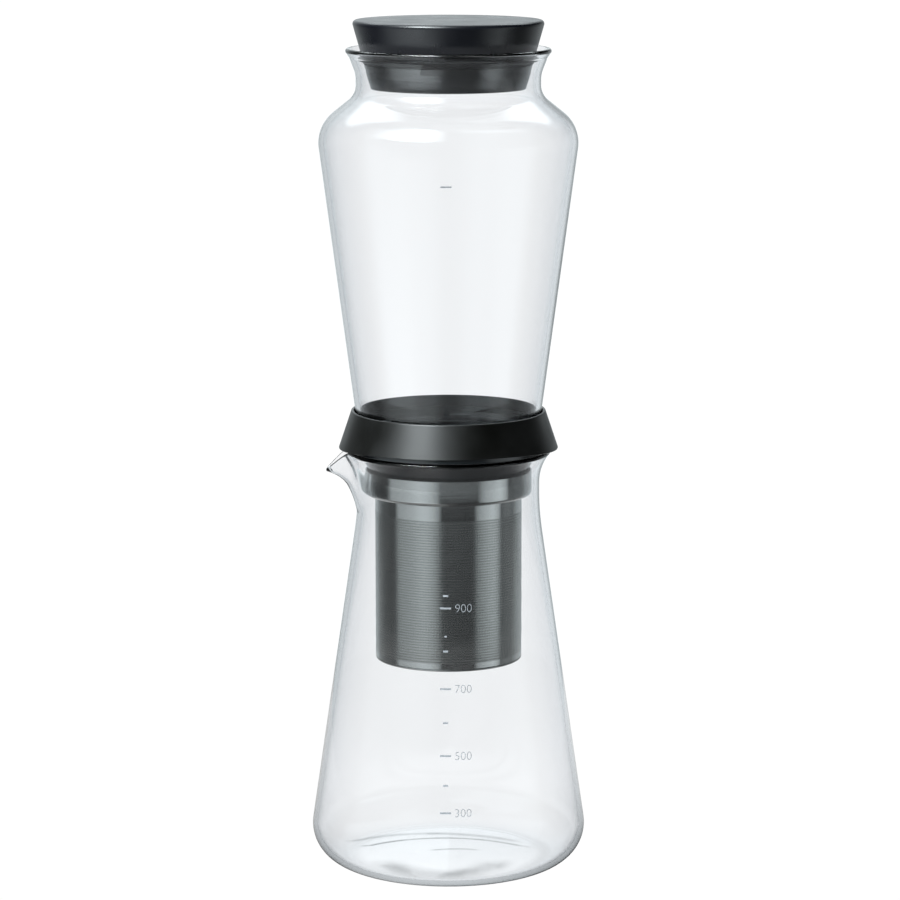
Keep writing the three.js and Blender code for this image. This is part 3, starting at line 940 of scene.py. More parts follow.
@dataclass
class VolumeScale:
    """The carafe's printed scale: ticks, and plain numbers of millilitres beside the long ones."""

    finishes: Finishes
    wall: Outline
    marks: Marks = (
        (35.0, 4.6),
        (46.3, 2.1),
        (58.6, 4.6),
        (72.2, 2.1),
        (86.2, 4.6),
        (101.7, 2.1),
        (107.8, 0.9),
        (119.4, 4.6),
        (124.5, 2.3),
    )
    numbers: tuple[tuple[str, float], ...] = (
        ("300", 35.0),
        ("500", 58.6),
        ("700", 86.2),
        ("900", 119.4),
    )
    tick_centre: float = -1.2
    tick_height: float = 0.75
    number_left: float = 2.8
    number_height: float = 3.3
    stroke_thinning: float = -0.018
    stroke_steps: int = 6

    def number(self, text: str, height: float, artwork: Print) -> Piece:
        """Prints one number, its left edge in line with the others.

        Args:
            text: the digits.
            height: where the middle of the number is.
            artwork: what lays it on the glass.

        Returns:
            The piece.
        """
        name = "scale_number_" + text
        curve = bpy.data.curves.new("number_" + text, "FONT")
        curve.body = text
        curve.offset = self.stroke_thinning
        curve.resolution_u = self.stroke_steps
        mesh = plain_mesh(new_object("number_start", curve), name)
        xs = [v.co.x for v in mesh.vertices]
        ys = [v.co.y for v in mesh.vertices]
        size = self.number_height / (max(ys) - min(ys))
        middle = (max(ys) + min(ys)) / 2
        for vertex in mesh.vertices:
            x = self.number_left + (vertex.co.x - min(xs)) * size
            z = height + (vertex.co.y - middle) * size
            vertex.co = Vector((x, 0, z)) * MM
        with edited(mesh) as shape:
            bmesh.ops.remove_doubles(shape, verts=shape.verts, dist=WELD)
            bmesh.ops.recalc_face_normals(shape, faces=shape.faces)
            fronts = bmesh.ops.extrude_face_region(shape, geom=shape.faces[:])["geom"]
            moved = [part for part in fronts if isinstance(part, bmesh.types.BMVert)]
            bmesh.ops.translate(shape, verts=moved, vec=(0, -artwork.ink_thickness * MM, 0))
        artwork.wrap(mesh)
        close_up(mesh)
        mesh.materials.clear()
        mesh.materials.append(self.finishes.ink)
        return new_object(name, mesh)

    def build(self) -> None:
        """Prints the scale."""
        artwork, ink = Print(self.wall), self.finishes.ink
        ticks = artwork.ticks("scale_ticks", self.marks, self.tick_centre, self.tick_height, ink)
        place(ticks, Body.CARAFE, None)
        for text, height in self.numbers:
            place(self.number(text, height, artwork), Body.CARAFE, None)


@dataclass
class WaterBowl:
    """The blown bowl that holds the water, and the soft drip nozzle in its base."""

    finishes: Finishes
    lathe: Lathe
    foot_radius: float = 38.6
    heel: float = 5.0
    shoulder_radius: float = 55.4
    shoulder_height: float = 131.2
    shoulder_round: float = 16.0
    neck_radius: float = 38.65
    shoulder_rise: float = 13.4
    neck_round: float = 9.0
    neck_length: float = 8.2
    mouth_round: float = 12.0
    mouth_flare: float = 2.65
    mouth_height: float = 7.0
    lip_flare: float = 1.5
    lip_height: float = 2.2
    lip_round: float = 2.0
    sides: int = 192
    fill_mark: tuple[float, float] = (295.6, 4.6)  # the printed tick's height and length
    fill_centre: float = -1.0
    fill_height: float = 0.6
    drip_hole: float = 4.2
    drip_bore: float = 0.6
    tip_wall: float = 0.8
    barb_length: float = 1.5
    barb_reach: float = 1.0
    nozzle_edge: float = 0.2
    barb_edge: float = 0.25
    cap_edge: float = 0.3
    cap_round: float = 0.7
    nozzle_sides: int = 48

    def outside(self) -> Outline:
        """The outer line, from the drip hole to the lip."""
        base = low("water_bowl")
        shoulder = base + self.shoulder_height
        neck = shoulder + self.shoulder_rise
        mouth = neck + self.neck_length
        lip = mouth + self.mouth_height
        lean = (self.shoulder_radius - self.foot_radius) / (self.shoulder_height - self.heel)
        mouth_edge = self.neck_radius + self.mouth_flare
        return Outline.of(
            Corner(self.drip_hole, base),
            Corner(self.foot_radius - lean * self.heel, base, self.heel),
            Corner(self.shoulder_radius, shoulder, self.shoulder_round),
            Corner(self.neck_radius, neck, self.neck_round),
            Corner(self.neck_radius, mouth, self.mouth_round),
            Corner(mouth_edge, lip, self.lip_round),
            Corner(mouth_edge + self.lip_flare, lip + self.lip_height),
        )

    def nozzle(self) -> Outline:
        """The nozzle's section: a cap inside the bowl, a barb under it and a tapered tip."""
        base, bottom, top = low("water_bowl"), low("drip_nozzle"), high("drip_nozzle")
        cap, barb = base + GLASS_WALL + SEAT_GAP, base - SEAT_GAP
        cap_radius = girth("drip_nozzle")
        stem = self.drip_hole - SEAT_GAP
        return Outline.of(
            Corner(self.drip_bore, bottom),
            Corner(self.drip_bore + self.tip_wall, bottom, self.nozzle_edge),
            Corner(stem, barb - self.barb_length),
            Corner(self.drip_hole + self.barb_reach, barb, self.barb_edge),
            Corner(stem, barb),
            Corner(stem, cap),
            Corner(cap_radius, cap, self.cap_edge),
            Corner(cap_radius, top, self.cap_round),
            Corner(self.drip_bore, top, self.nozzle_edge),
            closed=True,
        )

    def build(self) -> None:
        """Makes the bowl, its fill mark and its nozzle."""
        turn, finishes, outside = self.lathe.turn, self.finishes, self.outside()
        section = outside.blown(GLASS_WALL)
        glass = turn("water_bowl_vessel", section, finishes.bowl_glass, self.sides)
        glass.data.shade_smooth()
        place(glass, Body.BOWL, Slot.BOWL_GLASS, "water_bowl")
        sizes = (self.fill_mark,), self.fill_centre, self.fill_height
        place(Print(outside).ticks("fill_mark", *sizes, finishes.ink), Body.BOWL, None)
        nozzle = turn("soft_nozzle", self.nozzle(), finishes.silicone, self.nozzle_sides)
        place(nozzle, Body.BOWL, Slot.SILICONE, "drip_nozzle")


@dataclass
class Dripper:
    """The stiff ring that carries the bowl and the strainer, its skirt and its three seals."""

    finishes: Finishes
    lathe: Lathe
    bowl_wall: Outline
    flange_thickness: float = 2.1
    flange_edge: float = 0.15
    taper_radius: float = 38.45
    taper_round: float = 1.0
    taper_root: float = 0.5
    spigot_radius: float = 31.2
    spigot_bore: float = 29.0
    spigot_edge: float = 0.2
    groove_radius: float = 30.2
    groove_edge: float = 0.1
    taper_height: float = 12.7
    ledge_radius: float = 28.2
    cup_radius: float = 39.4
    cup_wall: float = 1.8
    cup_round: float = 0.8
    lip_wall: float = 1.1
    lip_round: float = 0.4
    edge_drop: float = 0.5
    edge_rise: float = 2.4
    edge_rise_power: int = 4
    edge: float = 0.35  # the fillet that any moulded edge has
    skirt_edge: float = 0.3
    bore_edge: float = 0.2
    rim_seal_width: float = 2.0
    rim_seal_edge: float = 0.35
    seat_width: float = 4.2
    seat_edge: float = 0.5
    spigot_seal_width: float = 3.9
    spigot_seal_edge: float = 0.6
    sides: int = 160
    seal_sides: int = 96

    @property
    def flange(self) -> float:
        """The height of the flange's underside."""
        return low("collar_sleeve") + self.edge_drop

    @property
    def step(self) -> float:
        """The height where the skirt rests on the flange."""
        return self.flange + self.flange_thickness + SEAT_GAP

    @property
    def bore(self) -> float:
        """The skirt's inner radius round the flange."""
        return girth("dripper_frame") + SEAT_GAP

    @property
    def lip_bore(self) -> float:
        """The radius of the hole that the bowl goes through."""
        return self.bowl_wall.radius_at(high("collar_sleeve")) + SLIP_GAP

    def frame_outline(self) -> Outline:
        """The ring's section: spigot, taper, flange, cup and the ledge inside it."""
        flange = self.flange
        ledge = flange + self.flange_thickness
        bottom, top = low("dripper_frame"), high("dripper_frame")
        spigot_top = flange - self.taper_height
        seal_low, seal_high = low("strainer_seal") - SEAT_GAP, high("strainer_seal") + SEAT_GAP
        rim_groove = high("carafe_seal") + SEAT_GAP
        rim_outer = girth("carafe_seal") + SEAT_GAP
        rim_inner = girth("carafe_seal") - self.rim_seal_width - SEAT_GAP
        wall = self.spigot_radius - self.spigot_bore
        outer = self.cup_radius + self.cup_wall
        return Outline.of(
            Corner(self.spigot_bore, bottom, self.spigot_edge),
            Corner(self.spigot_radius, bottom, self.edge),
            Corner(self.spigot_radius, seal_low, self.groove_edge),
            Corner(self.groove_radius, seal_low),
            Corner(self.groove_radius, seal_high),
            Corner(self.spigot_radius, seal_high, self.groove_edge),
            Corner(self.spigot_radius, spigot_top, self.taper_round),
            Corner(self.taper_radius, flange, self.edge),
            Corner(rim_inner, flange, self.flange_edge),
            Corner(rim_inner, rim_groove),
            Corner(rim_outer, rim_groove),
            Corner(rim_outer, flange, self.groove_edge),
            Corner(girth("dripper_frame"), flange, self.flange_edge),
            Corner(girth("dripper_frame"), ledge, self.flange_edge),
            Corner(outer, ledge),
            Corner(outer, top, self.edge),
            Corner(self.cup_radius, top, self.edge),
            Corner(self.cup_radius, ledge, self.cup_round),
            Corner(self.ledge_radius, ledge, self.edge),
            Corner(self.ledge_radius, flange, self.edge),
            Corner(self.taper_radius - wall, flange, self.taper_root),
            Corner(self.spigot_bore, spigot_top, self.taper_round),
            closed=True,
        )

    def skirt_outline(self) -> Outline:
        """The skirt's section: a cone from its sharp edge up to a thin lip round the bowl."""
        edge, lip = low("collar_sleeve"), high("collar_sleeve")
        cup = self.cup_radius + self.cup_wall + SEAT_GAP
        cup_top = high("dripper_frame") + SEAT_GAP
        glass_bore = self.bowl_wall.radius_at(cup_top) + SLIP_GAP
        return Outline.of(
            Corner(self.bore, edge, self.bore_edge),
            Corner(girth("collar_sleeve"), edge, self.skirt_edge),
            Corner(self.lip_bore + self.lip_wall, lip, self.lip_round),
            Corner(self.lip_bore, lip, self.lip_round),
            Corner(glass_bore, cup_top, self.bore_edge),
            Corner(cup, cup_top),
            Corner(cup, self.step),
            Corner(self.bore, self.step),
            closed=True,
        )

    def raise_edge(self, mesh: Mesh) -> None:
        """Raises the skirt's lower edge in front and at the back, and leaves its two ends low.

        Args:
            mesh: the turned skirt's.
        """
        edge, lip = low("collar_sleeve"), high("collar_sleeve")
        bore, step, widest = self.bore, self.step, girth("collar_sleeve")
        lean = (widest - self.lip_bore - self.lip_wall) / (lip - edge)
        for vertex in mesh.vertices:
            x, y, z = vertex.co / MM
            radius = math.hypot(x, y)
            if z >= step or radius < bore - SEAT_GAP:
                continue
            sideways = abs(x) / radius
            squeeze = self.edge_rise * (1 - sideways**self.edge_rise_power) / (step - edge)
            raised = z + (step - z) * squeeze
            before, after = widest - lean * (z - edge), widest - lean * (raised - edge)
            scale = (bore + (radius - bore) * (after - bore) / (before - bore)) / radius
            vertex.co = Vector((x * scale, y * scale, raised)) * MM

    def seal(self, name: str, node: str, width: float, edge: float) -> None:
        """Makes a seal, which is a rounded square in section.

        Args:
            name: the piece's name.
            node: the CAD node that it replaces.
            width: how wide its section is.
            edge: the fillet of its four edges.
        """
        bottom, top, outer = low(node), high(node), girth(node)
        corners = [(outer - width, bottom), (outer, bottom), (outer, top), (outer - width, top)]
        section = Outline.of(*(Corner(r, z, edge) for r, z in corners), closed=True)
        ring = self.lathe.turn(name, section, self.finishes.silicone, self.seal_sides)
        place(ring, Body.DRIPPER, Slot.SILICONE, node)

    def build(self) -> None:
        """Makes the ring, the skirt and the seals."""
        turn, finishes = self.lathe.turn, self.finishes
        ring = turn("dripper_ring", self.frame_outline(), finishes.frame_plastic, self.sides)
        place(ring, Body.DRIPPER, Slot.BLACK_PLASTIC, "dripper_frame")
        skirt = turn("collar_skirt", self.skirt_outline(), finishes.collar_plastic, self.sides)
        self.raise_edge(skirt.data)
        close_up(skirt.data)
        place(skirt, Body.DRIPPER, Slot.COLLAR_SLEEVE, "collar_sleeve")
        self.seal("rim_seal", "carafe_seal", self.rim_seal_width, self.rim_seal_edge)
        self.seal("bowl_seat", "bowl_gasket", self.seat_width, self.seat_edge)
        spigot = self.spigot_seal_width, self.spigot_seal_edge
        self.seal("spigot_seal", "strainer_seal", *spigot)


def perforate(tree: Tree, given: dict[str, Socket]) -> Node:
    """Adds what punches a round hole through a plate at each point of another object.

    Args:
        tree: the tree.
        given: its inputs, among them Punches, Hole Radius and Punch Length.

    Returns:
        The last node.
    """
    spots = add(tree, "GeometryNodeObjectInfo", {"Object": given["Punches"]})
    sizes = {"Radius": given["Hole Radius"], "Depth": given["Punch Length"]}
    punch = add(tree, "GeometryNodeMeshCylinder", {"Vertices": PUNCH_SIDES, **sizes})
    points = {"Points": spots.outputs["Geometry"], "Instance": punch}
    punches = add(tree, "GeometryNodeInstanceOnPoints", points)
    both = {"Mesh 1": given["Geometry"], "Mesh 2": punches}
    return add(tree, "GeometryNodeMeshBoolean", both, operation="DIFFERENCE", solver="EXACT")


@dataclass
class Strainer:
    """The steel strainer that holds the ground coffee, and the spreader plate that lies in it."""

    finishes: Finishes
    lathe: Lathe
    sheet: float = 0.6
    mesh_sheet: float = 0.5
    sheared_edge: float = 0.15
    band_round: float = 1.7
    band_edge: float = 0.25
    step_round: float = 0.4
    skirt_length: float = 7.6
    foot_bead: float = 0.7
    foot_flange: float = 4.0
    bead_edge: float = 0.2
    foot_root: float = 0.3
    floor_edge: float = 0.1
    plate_sheet: float = 0.8
    dish_depth: float = 1.8
    dish_bend: float = 0.8  # the fillets outside and inside a bend of the dish
    dish_crook: float = 0.4
    rim_edge: float = 0.2
    hole_radius: float = 1.2
    hole_rings: tuple[int, ...] = (6, 12)
    punch_sheets: int = 4  # how many sheets of the plate the punch is long
    sides: int = 192
    floor_sides: int = 96
    plate_sides: int = 128

    @property
    def bore(self) -> float:
        """The radius of the band's skirt, inside the basket."""
        return girth("strainer_basket") - self.mesh_sheet - SEAT_GAP

    @property
    def dish(self) -> float:
        """The radius of the spreader plate's dish, inside the skirt."""
        return self.bore - self.sheet - SLIP_GAP

    def band_outline(self) -> Outline:
        """The band's section: a wide wall, a rounded step and a narrow skirt inside the basket."""
        radius, skirt = girth("strainer_band"), self.bore
        bottom, top = high("strainer_basket") + SEAT_GAP, high("strainer_band")
        step = bottom + self.sheet
        return Outline.of(
            Corner(skirt - self.sheet, bottom - self.skirt_length, self.sheared_edge),
            Corner(skirt, bottom - self.skirt_length, self.sheared_edge),
            Corner(skirt, bottom),
            Corner(radius, bottom, self.band_round),
            Corner(radius, top, self.band_edge),
            Corner(radius - self.sheet, top, self.band_edge),
            Corner(radius - self.sheet, step, self.band_round - self.sheet),
            Corner(skirt - self.sheet, step, self.step_round),
            closed=True,
        )

    def basket_outline(self) -> Outline:
        """The basket's section: a plain tube of etched sheet."""
        outer = girth("strainer_basket")
        inner = outer - self.mesh_sheet
        bottom, top = low("strainer_basket"), high("strainer_basket")
        corners = ((inner, bottom), (outer, bottom), (outer, top), (inner, top))
        return Outline.of(*(Corner(r, z) for r, z in corners), closed=True)

    def foot_outline(self) -> Outline:
        """The foot's section: a bead under the basket, a skirt inside it and a flange below."""
        radius = girth("strainer_foot")
        skirt = radius - self.mesh_sheet - SEAT_GAP
        bottom, top = low("strainer_foot"), high("strainer_foot")
        edge = self.sheared_edge
        return Outline.of(
            Corner(skirt - self.foot_flange, bottom, edge),
            Corner(radius, bottom, self.foot_bead / 2),
            Corner(radius, bottom + self.foot_bead, self.bead_edge),
            Corner(skirt, bottom + self.foot_bead),
            Corner(skirt, top, edge),
            Corner(skirt - self.sheet, top, edge),
            Corner(skirt - self.sheet, bottom + self.sheet, self.foot_root),
            Corner(skirt - self.foot_flange, bottom + self.sheet, edge),
            closed=True,
        )

    def floor_outline(self) -> Outline:
        """The floor's section: a disc of etched sheet that lies in the foot."""
        radius = girth("strainer_floor")
        bottom, top = low("strainer_floor"), high("strainer_floor")
        return Outline.of(
            Corner(0, bottom),
            Corner(radius, bottom, self.floor_edge),
            Corner(radius, top, self.floor_edge),
            Corner(0, top),
        )

    def plate_outline(self) -> Outline:
        """The spreader plate's section: a shallow dish with a rim that lies on the band's step."""
        rim, dish, floor = girth("spreader_plate"), self.dish, low("spreader_plate")
        base, top = floor + self.dish_depth, high("spreader_plate")
        sheet = self.plate_sheet
        return Outline.of(
            Corner(0, floor),
            Corner(dish - self.dish_depth, floor, self.dish_bend),
            Corner(dish, base, self.dish_crook),
            Corner(rim, base, self.rim_edge),
            Corner(rim, top, self.rim_edge),
            Corner(dish - sheet, top, self.dish_bend),
            Corner(dish - sheet - self.dish_depth, floor + sheet, self.dish_crook),
            Corner(0, floor + sheet),
        )

    def punch(self, plate: Piece) -> Piece:
        """Punches the holes through the plate's floor.

        Args:
            plate: the turned plate, which is used up.

        Returns:
            The perforated plate.
        """
        floor = low("spreader_plate") + self.plate_sheet / 2
        holes = [Vector((0, 0, floor)) * MM]
        for ring, count in enumerate(self.hole_rings, start=1):
            radius = (self.dish - self.dish_depth) * ring / (len(self.hole_rings) + 1)
            for k in range(count):
                angle = 2 * math.pi * k / count
                hole = (radius * math.cos(angle), radius * math.sin(angle), floor)
                holes.append(Vector(hole) * MM)
        spots = bpy.data.meshes.new("punch_spots")
        spots.from_pydata(holes, [], [])
        punches = new_object("punch_spots", spots)
        kinds = {"Punches": "Object", "Hole_Radius": "Float", "Punch_Length": "Float"}
        punched = grown(
            "spreader_dish",
            plate.data,
            growing_tree("Perforated Plate", perforate, **kinds),
            Punches=punches,
            Hole_Radius=self.hole_radius * MM,
            Punch_Length=self.punch_sheets * self.plate_sheet * MM,
            Material=self.finishes.polished_steel,
        )
        bpy.data.objects.remove(punches)
        bpy.data.objects.remove(plate)
        close_up(punched.data)
        return punched

    def build(self) -> None:
        """Makes the strainer's pieces."""
        turn, finishes, sides = self.lathe.turn, self.finishes, self.sides
        steel, etched = finishes.polished_steel, finishes.etched_steel
        band = turn("steel_band", self.band_outline(), steel, sides)
        place(band, Body.STRAINER, Slot.POLISHED_STEEL, "strainer_band")
        basket = turn("etched_basket", self.basket_outline(), etched, sides)
        place(basket, Body.STRAINER, Slot.ETCHED_STEEL, "strainer_basket")
        foot = turn("steel_foot", self.foot_outline(), steel, sides)
        place(foot, Body.STRAINER, Slot.POLISHED_STEEL, "strainer_foot")
        floor = turn("etched_floor", self.floor_outline(), etched, self.floor_sides)
        place(floor, Body.STRAINER, Slot.ETCHED_STEEL, "strainer_floor")
        blank = turn("plate_blank", self.plate_outline(), steel, self.plate_sides)
        place(self.punch(blank), Body.SPREADER, Slot.POLISHED_STEEL, "spreader_plate")


@dataclass
class Lid:
    """The stopper lid: a cap and a plug on one cone, and the gasket between them."""

    finishes: Finishes
    lathe: Lathe
    bowl_wall: Outline
    neck_radius: float
    neck_clearance: float = 4.15
    flare: float = 8.1
    edge_round: float = 1.6
    top_thickness: float = 2.2
    wall: float = 2.0
    ceiling_round: float = 1.0
    floor_round: float = 0.6
    cap_edge: float = 0.4
    tongue_edge: float = 0.3
    bore_edge: float = 0.2
    fin_thickness: float = 1.1
    fin_edge: float = 0.3
    gasket_wall: float = 1.4
    gasket_edge: float = 0.1
    sides: int = 160

    def cone(self, height: float) -> float:
        """The radius of the lid's cone at a height."""
        bottom, top = low("lid_plug"), high("lid_cap")
        narrow = self.neck_radius - GLASS_WALL - self.neck_clearance
        return narrow + self.flare * (height - bottom) / (top - bottom)

    def cap_outline(self) -> Outline:
        """The cap's section: a flat top with a rounded edge and a hollow cone under it."""
        bottom, top = low("lid_cap"), high("lid_cap")
        ceiling = top - self.top_thickness
        return Outline.of(
            Corner(0, ceiling),
            Corner(self.cone(ceiling) - self.wall, ceiling, self.ceiling_round),
            Corner(self.cone(bottom) - self.wall, bottom, self.bore_edge),
            Corner(self.cone(bottom), bottom, self.cap_edge),
            Corner(self.cone(top), top, self.edge_round),
            Corner(0, top),
        )

    def plug_outline(self) -> Outline:
        """The plug's section: a floor, a short cone and the tongue that snaps into the cap."""
        bottom, top = low("lid_plug"), high("lid_plug")
        ledge = low("lid_gasket") - SEAT_GAP
        tongue = self.cone(low("lid_cap")) - self.wall - SEAT_GAP
        return Outline.of(
            Corner(0, bottom),
            Corner(self.cone(bottom), bottom, self.edge_round / 2),
            Corner(self.cone(ledge), ledge, self.tongue_edge),
            Corner(tongue, ledge),
            Corner(tongue, top, self.tongue_edge),
            Corner(tongue - self.wall, top, self.tongue_edge),
            Corner(tongue - self.wall, bottom + self.wall, self.floor_round),
            Corner(0, bottom + self.wall),
        )

    def gasket_outline(self) -> Outline:
        """The gasket's section: a wall with one fin that reaches for the bowl's flared mouth."""
        bottom, top = low("lid_gasket"), high("lid_gasket")
        bore = self.cone(low("lid_cap")) - self.wall
        wall = bore + self.gasket_wall
        fin = top - self.fin_thickness
        inner = Outline(self.bowl_wall.inset(GLASS_WALL))
        return Outline.of(
            Corner(bore, bottom, self.bore_edge),
            Corner(wall, bottom, self.gasket_edge),
            Corner(wall, fin - self.fin_thickness, self.gasket_edge),
            Corner(inner.radius_at(fin) - SLIP_GAP, fin, self.fin_edge),
            Corner(wall, top, self.gasket_edge),
            Corner(bore, top, self.bore_edge),
            closed=True,
        )

    def build(self) -> None:
        """Makes the cap, the plug and the gasket."""
        turn, finishes = self.lathe.turn, self.finishes
        cap = turn("lid_top_cone", self.cap_outline(), finishes.lid_plastic, self.sides)
        place(cap, Body.LID, Slot.LID_PLASTIC, "lid_cap")
        plug = turn("lid_stopper", self.plug_outline(), finishes.plug_plastic, self.sides)
        place(plug, Body.LID, Slot.LID_PLASTIC, "lid_plug")
        gasket = turn("lid_seal", self.gasket_outline(), finishes.silicone, self.sides)
        place(gasket, Body.LID, Slot.SILICONE, "lid_gasket")


# Studio

Wall = tuple[tuple[float, float], ...]  # directions, and how bright the wall is there
BOUNCED = 0.5  # between the depths of a ray that hasn't bounced and one that has
ONE_WALL = 3.5  # above the transmission depths of light that is still in its first wall


@dataclass(frozen=True)
class PaintedCaustic:
    """A painted caustic: a dark arc painted into the table's glow, where the carafe's base would
    throw its light on the table.
    """

    x: float
    y: float
    radius: float
    half_width: float
    darkness: float
    fades_at: float  # where along Y it has faded out
    full_at: float  # where along Y it is at its darkest


@dataclass
class Studio:
    """A pale floor, a tent of soft light round it, and the camera.

    The tent is a stack of walls, each a brightness by the direction round the object, in
    degrees. 0 is towards the camera of the photograph's view and 90 is to its right.
    """

    floor_radius: float = 400.0
    floor_sides: int = 96
    floor_drop: float = 0.02
    floor_glow: float = 1.02
    # A painted pool of light: the table glows brighter inside the carafe's foot ring
    painted_glow: float = 0.2  # more light inside the carafe's foot ring
    painted_glow_radius: float = 42.0
    painted_glow_fade: float = 5.0
    # Painted caustic shadows: dark arcs painted into the table's glow under the carafe's base
    painted_caustics: tuple[PaintedCaustic, ...] = (
        PaintedCaustic(-1.8, -28.7, 51.4, 1.6, 0.9, 6.0, 12.0),
        PaintedCaustic(-7.0, -30.2, 60.0, 3.0, 0.6, 15.0, 21.0),
        PaintedCaustic(3.0, -15.0, 21.5, 1.6, 0.8, 3.5, 5.5),
        PaintedCaustic(-3.0, -12.0, 23.0, 11.0, 0.55, -12.0, -22.0),
    )
    # The patches are noise painted over the caustic arcs, which breaks them up as an uneven base
    # would
    patch_size: float = 16.0  # of the uneven base, which breaks the arcs up
    patch_low: float = 0.38  # the noise below which an arc is weakest
    patch_high: float = 0.55  # the noise above which it has its full strength
    patch_least: float = 0.6  # how strong it is at its weakest
    backdrop: float = 1.04
    cool_light: str = "#eff8fb"
    cool_glass: str = "#e8edf0"
    floor_seen_in_gloss: Wall = (
        (-180, 0.9), (-150, 0.75), (-110, 0.3), (-75, 0.1), (-55, 0.3), (-20, 0.3), (0, 0.08),
        (20, 0.03), (100, 0.05), (130, 0.4), (155, 0.75), (180, 0.9),
    )
    deep: Wall = (
        (-180, 1.0), (-140, 0.9), (-118, 0.1), (-95, 0.1), (-80, 1.2), (-45, 2.2), (-20, 1.4),
        (-4, 0.1), (44, 0.05), (58, 1.0), (72, 1.2), (86, 0.3), (100, 0.08), (118, 0.1),
        (140, 0.9), (180, 1.0),
    )
    low_front: Wall = (
        (-180, 1.05), (-174, 1.0), (-166, 0.6), (-150, 0.6), (-138, 0.3), (-118, 0.06),
        (-103, 0.02), (-91, 0.03), (-83, 0.5), (-60, 0.64), (-40, 0.86), (-31, 0.8),
        (-23, 0.66), (-15, 0.4), (-10, 0.02), (40, 0.01), (46, 0.4), (54, 0.6), (74, 0.88),
        (84, 0.6), (90, 0.08), (100, 0.14), (116, 0.14), (130, 0.4), (148, 0.55), (166, 0.5),
        (174, 1.0), (180, 1.05),
    )
    eye_level: Wall = tuple({**dict(low_front), -10: 0.2, 40: 0.16}.items())
    above: Wall = (
        (-180, 1.0), (-160, 0.8), (-130, 0.2), (-90, 0.1), (-70, 0.6), (-30, 0.8), (-5, 0.1),
        (20, 0.0), (150, 0.0), (170, 0.6), (180, 0.8),
    )
    key_level: Wall = (
        (-180, 4.0), (-130, 4.0), (-116, 0.2), (-84, 0.3), (-64, 5.0), (-50, 34.0), (-26, 34.0),
        (-14, 6.0), (-2, 0.2), (14, 0.0), (124, 0.0), (136, 4.0), (180, 4.0),
    )
    seen_in_glass: Wall = (
        (-180, 0.9), (-120, 0.7), (-60, 0.64), (0, 0.78), (60, 0.62), (120, 0.7), (148, 1.0),
        (159, 1.0), (165, 0.7), (171, 0.42), (180, 0.4),
    )
    # The elevations, in degrees, between which each wall takes over from the one below it
    low_front_from: tuple[float, float] = (-24.0, -16.0)
    eye_level_from: tuple[float, float] = (-10.95, -10.65)
    above_from: tuple[float, float] = (2.0, 14.0)
    key_level_from: tuple[float, float] = (27.0, 37.0)
    ceiling_from: tuple[float, float] = (56.0, 70.0)
    ceiling: float = 0.7
    glare: float = 0.8  # the brightest that the key is where glass reflects it in a vessel
    lens: float = 144.14
    sensor: float = 36.0
    distance: float = 1504.8
    eye_height: float = 444.1
    look_down: float = 10.01
    look_right: float = 0.0254

    def direction(self, tree: Tree, vector: Socket) -> Node:
        """Adds what gives the direction of a vector round the object.

        Args:
            tree: the sky's or the table's.
            vector: the vector.

        Returns:
            The last node, which gives 0 to 1 for -180 to 180 degrees.
        """
        axes = add(tree, "ShaderNodeSeparateXYZ", {0: vector}).outputs
        front = add(tree, "ShaderNodeMath", {0: axes["Y"], 1: -1.0}, operation="MULTIPLY")
        turn = add(tree, "ShaderNodeMath", {0: axes["X"], 1: front}, operation="ARCTAN2")
        limits = {"Value": turn, "From Min": -math.pi, "From Max": math.pi}
        return add(tree, "ShaderNodeMapRange", limits)

    def wall(self, tree: Tree, wall: Wall, share: Node) -> Node:
        """Adds what gives a wall's brightness by direction.

        Args:
            tree: the sky's or the table's.
            wall: the wall.
            share: the node that gives the direction.

        Returns:
            The last node.
        """
        brightest = max(value for _, value in wall)
        stops = [((angle + 180) / 360, (*[value / brightest] * 3, 1.0)) for angle, value in wall]
        ramp = add(tree, "ShaderNodeValToRGB", {"Fac": share}, stops)
        return add(tree, "ShaderNodeMath", {0: ramp, 1: brightest}, operation="MULTIPLY")

    def softened(self, tree: Tree, light: Node) -> Node:
        """Adds what holds a wall's light down where it is seen by way of glass.

        Args:
            tree: the sky's.
            light: the wall's last node.

        Returns:
            The last node.
        """
        depth = add(tree, "ShaderNodeLightPath").outputs["Transmission Depth"]
        behind = add(tree, "ShaderNodeMath", {0: depth, 1: BOUNCED}, operation="GREATER_THAN")
        soft = add(tree, "ShaderNodeMath", {0: light, 1: self.glare}, operation="MINIMUM")
        return add(tree, "ShaderNodeMix", {0: behind, 2: light, 3: soft}, data_type="FLOAT")

    def blend(
        self,
        tree: Tree,
        below: Node,
        above: Node | float,
        rise: Node,
        ends: tuple[float, float],
    ) -> Node:
        """Passes from one wall of the tent to the next.

        Args:
            tree: the sky's.
            below: the lower wall's light.
            above: the upper wall's.
            rise: the node that gives the elevation.
            ends: the elevations where it starts and ends, in degrees.

        Returns:
            The last node.
        """
        start, end = map(math.radians, ends)
        limits = {"Value": rise, "From Min": start, "From Max": end}
        share = add(tree, "ShaderNodeMapRange", limits, interpolation_type="SMOOTHSTEP")
        return add(tree, "ShaderNodeMix", {0: share, 2: below, 3: above}, data_type="FLOAT")

    def seen_straight(self, tree: Tree) -> Node:
        """Adds what finds what the camera sees, straight or through glass.

        Args:
            tree: the sky's or the table's.

        Returns:
            The last node, which gives 1 for it and 0 for light on the pieces.
        """
        path = add(tree, "ShaderNodeLightPath").outputs
        depths = {0: path["Glossy Depth"], 1: path["Diffuse Depth"]}
        bounced = add(tree, "ShaderNodeMath", depths, operation="ADD")
        ends = {0: bounced, 1: BOUNCED}
        unbounced = add(tree, "ShaderNodeMath", ends, operation="LESS_THAN")
        both = {0: path["Is Transmission Ray"], 1: unbounced}
        through = add(tree, "ShaderNodeMath", both, operation="MULTIPLY")
        either = {0: path["Is Camera Ray"], 1: through}
        return add(tree, "ShaderNodeMath", either, operation="MAXIMUM")

